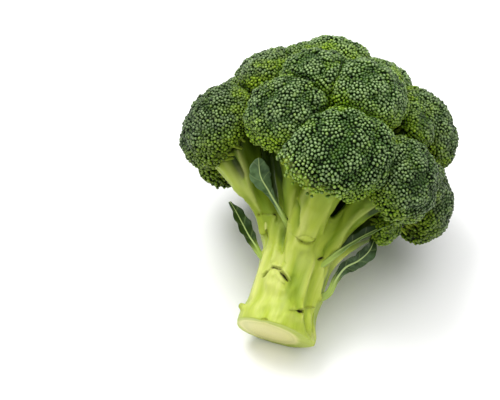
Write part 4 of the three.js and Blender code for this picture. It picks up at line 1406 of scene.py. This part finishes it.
@dataclass(frozen=True)
class Leaf:
    """One leaf: the line of its rib, its half widths from root to tip, and how its blade is bent and toned.

    `deep` paints shade on the blade on each side of the rib, and `pale` gives how pale the blade is on each
    side.
    """

    name: str
    rib: tuple[Spot, ...]
    half: tuple[float, ...]
    faces: Spot
    cup: float
    wave: float
    waves: float
    fold: float = 0.0
    tip: float = 0.9
    teeth: float = 0.05
    deep: tuple[float, float] = (0.1, 0.1)
    pale: tuple[float, float] = (0.0, 0.0)

    def build(self, plan: HeadPlan, finish: bpy.types.Material) -> Piece:
        """Makes the leaf with a thick stalk, a raised rib and a thin waved blade.

        Args:
            plan: The head's layout.
            finish: The leaf material.

        Returns:
            The finished object, which stands for the leaf's CAD node.
        """
        line = Line(np.array(self.rib, float))
        long = float(np.linalg.norm(np.diff(line.at(np.linspace(0, 1, 40)), axis=0), axis=1).sum())
        kept: dict[str, Array] = {}

        def shape(points: Array) -> Array:
            """Flattens the tube into a blade along the rib."""
            along, turn, out = polar(points)
            inside = out < 0.5
            share = np.where(inside, 0, np.cos(turn))
            ahead = line.ahead(along)
            side = unit(np.cross(ahead, np.array(self.faces)))
            up = unit(np.cross(side, ahead))
            fine = np.linspace(0, 1, 201)
            width = np.interp(fine, np.linspace(0, 1, len(self.half)), self.half)
            soft = np.hanning(33) / np.hanning(33).sum()
            width = np.interp(along, fine, np.convolve(np.pad(width, 16, mode="edge"), soft, "valid"))
            end = np.clip((along - self.tip) / (1 - self.tip), 0, 1)
            width = width * np.sqrt(np.clip(1 - end**2, 0.003, 1))
            blade = smooth(along, 0.25, 0.5)
            scallop = np.abs(np.sin(np.pi * (2 * self.waves + 1) * along + 2 * np.sign(share))) - 0.6
            across = share * width * (1 + self.teeth * blade * scallop)
            ripple = self.wave * np.sin(2 * np.pi * self.waves * along + np.sign(share)) * share**2 * blade
            lift = self.cup * width * share**2 + self.fold * np.abs(across) * blade + ripple
            ribbed = 0.7 - 0.66 * along
            rib = np.exp(-((across / (ribbed + 0.2)) ** 2))
            thick = 0.30 + 0.13 * (1 - blade) + (1 - blade) * 0.85 * (1 - share**2)
            thick = thick + 0.5 * rib * (1 - 0.6 * along)
            round_ = np.sqrt(np.clip(1 - share**8, 0, 1))
            face = np.where(inside, 0, np.sign(np.sin(turn))) * round_
            placed = line.at(along) + side * across[:, None] + up * (lift + face * thick)[:, None]
            right = smooth(across, -0.4, 0.4)
            # Painted shade on each half of the blade.
            deep = self.deep[0] * (1 - right) + self.deep[1] * right
            pale = self.pale[0] * (1 - right) + self.pale[1] * right
            kept["blade"] = np.stack((along * long / 4.0, smooth(along, 0.18, 0.42), across), -1)
            kept["tint"] = np.stack((deep, pale, ribbed), -1)
            return plan.to_row(placed)

        piece = Shaper.move(Shaper.tube(self.name.removeprefix("leaf_") + "_leaf", 56, 72), shape)
        for name, values in kept.items():
            Shaper.store(piece, name, values)
        Shaper.outward(piece)
        Shaper.paint(piece, (finish,))
        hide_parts(self.name)
        return piece


LEAVES = (
    Leaf(
        "leaf_spoon",
        (
            (-9, -14, 55), (-14, -20, 58), (-19.5, -24.5, 62),
            (-26, -28.5, 67), (-32.5, -31.5, 72.5), (-36.5, -34, 81),
        ),
        (1.6, 1.5, 1.4, 1.4, 1.5, 3.2, 5.5, 5.7, 5.0),
        (-0.1, -1, 0.1),
        cup=0.12, wave=0.4, waves=4, tip=0.78, teeth=0.13, deep=(0.1, 0.2),
    ),
    Leaf(
        "leaf_left",
        ((-15, -5, 35), (-21, -6.5, 39), (-27, -8, 44), (-33.5, -10, 50), (-39, -12, 55), (-44, -14, 59)),
        (2.0, 1.9, 2.2, 3.4, 4.6, 5.0, 4.4, 3.0, 0.8),
        (0.35, -0.9, 0.45),
        cup=0.3, wave=0.6, waves=5, deep=(0.6, 0.5),
    ),
    Leaf(
        "leaf_right",
        ((11, -10, 39), (15.5, -14, 45), (21, -17, 52.5), (26.5, -20, 59), (33, -22, 65.5), (43, -24, 74)),
        (2.2, 2.0, 1.8, 2.4, 3.2, 3.4, 3.0, 2.0, 0.8),
        (-0.2, -0.75, 0.65),
        cup=0.3, wave=0.4, waves=5, fold=0.35, deep=(0.5, 0.1), pale=(0.0, 0.7),
    ),
    Leaf(
        "leaf_low",
        (
            (16, -4, 25), (21, -5, 30), (22.5, -7, 38.5),
            (25.5, -9, 45.5), (31, -10.5, 51), (35, -10.5, 58), (36, -9, 68),
        ),
        (2.2, 2.0, 1.9, 2.4, 3.4, 4.0, 4.0, 3.2, 1.0),
        (0.3, -0.95, -0.1),
        cup=0.3, wave=1.2, waves=4, teeth=0.12, deep=(0.45, 0.3),
    ),
)


# ---- Table, light and camera ----


@dataclass
class Studio:
    """A white table, soft light from the upper left and a camera that looks down at the head.

    `lean` is how far the head leans in the picture and `tilt` how far the view swings towards the cut, in
    degrees. `away` and the two shifts place the camera, and `lens` is its focal length, in millimetres.
    """

    plan: HeadPlan
    lean: float = 18.0
    tilt: float = 15.0
    away: float = 625.7
    shift_right: float = -12.2
    shift_up: float = 72.1
    lens: float = 85.0

    def _view(self) -> tuple[Array, Array, Array]:
        """The picture's right and up, and the way to the camera, in the head's frame."""
        lean, tilt = math.radians(self.lean), math.radians(self.tilt)
        over = np.array((0.0, -math.sin(tilt), math.cos(tilt)))
        x = np.array((1.0, 0.0, 0.0))
        right = math.cos(lean) * x + math.sin(lean) * over
        up = -math.sin(lean) * x + math.cos(lean) * over
        return right, up, np.array((0.0, -math.cos(tilt), -math.sin(tilt)))

    def _way(self, rightward: float, upward: float, forward: float) -> Vector:
        """A unit direction in the row's frame, by shares of the picture's right, up and way to the camera."""
        right, up, toward = self._view()
        return Vector(unit(self.plan.way_to_row(rightward * right + upward * up + forward * toward)))

    def camera(self) -> None:
        """Adds the camera."""
        right, up, toward = self._view()
        place = self.plan.to_row(self.shift_right * right + self.shift_up * up + self.away * toward)
        data = bpy.data.cameras.new("camera")
        data.lens, data.sensor_width, data.clip_start = self.lens, 36.0, 0.01
        made = bpy.data.objects.new("camera", data)
        turned = np.stack([self.plan.way_to_row(way) for way in (right, up, toward)], -1)
        made.matrix_world = Matrix.Translation(place) @ Matrix(turned.tolist()).to_4x4()
        bpy.context.scene.collection.objects.link(made)
        bpy.context.scene.camera = made

    @staticmethod
    def _lamp(name: str, place: Vector, turned: Euler, size: float, power: float) -> None:
        """Adds one soft square lamp.

        Args:
            name: The lamp's name.
            place: Where it hangs.
            turned: How it is turned from shining straight down.
            size: Its side, in metres.
            power: Its power, in watts.
        """
        data = bpy.data.lights.new(name, "AREA")
        data.shape, data.size, data.energy = "SQUARE", size, power
        made = bpy.data.objects.new(name, data)
        made.location, made.rotation_euler = place, turned
        bpy.context.scene.collection.objects.link(made)

    def build(self) -> None:
        """Adds the table and the lights."""
        table = Shaper.start(bpy.ops.mesh.primitive_plane_add, "table", size=8)
        Shaper.paint(table, (TableFinish().build(),))
        head = Vector((0, 0.01, 0.06))
        key, fill = self._way(-0.36, 0.85, 0.55), self._way(0.5, 0.3, 0.8)
        self._lamp("key", head + key * 1.1, key.to_track_quat("Z", "Y").to_euler(), 0.5, 6.2)
        self._lamp("fill", head + fill * 1.3, fill.to_track_quat("Z", "Y").to_euler(), 1.0, 1.2)
        self._lamp("ceiling", Vector((0, 0, 1.5)), Euler(), 2.2, 29.5)
        world = bpy.data.worlds.new("studio")
        world.use_nodes = True
        feed(world.node_tree.nodes["Background"], {0: (1, 1, 1, 1), 1: 0.36})
        bpy.context.scene.world = world
        bpy.context.scene.view_settings.view_transform = "Standard"


def report(piece: Piece) -> None:
    """Puts a finished piece on the head's one body and logs its size."""
    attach(piece, "root")
    triangles = sum(len(face.vertices) - 2 for face in piece.data.polygons)
    LOG.info("%s: %d triangles", piece.name, triangles)


def main() -> None:
    """Builds the scene in order."""
    logging.basicConfig(level=logging.INFO, format="%(message)s")
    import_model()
    plan = HeadPlan()
    studio = Studio(plan)
    studio.camera()
    studio.build()
    report(Stalk(plan).build())
    crown = Crown(plan, BudField())
    for piece in crown.build():
        report(piece)
    finish = LeafFinish().build()
    for leaf in LEAVES:
        report(leaf.build(plan, finish))


if __name__ == "__main__":
    main()
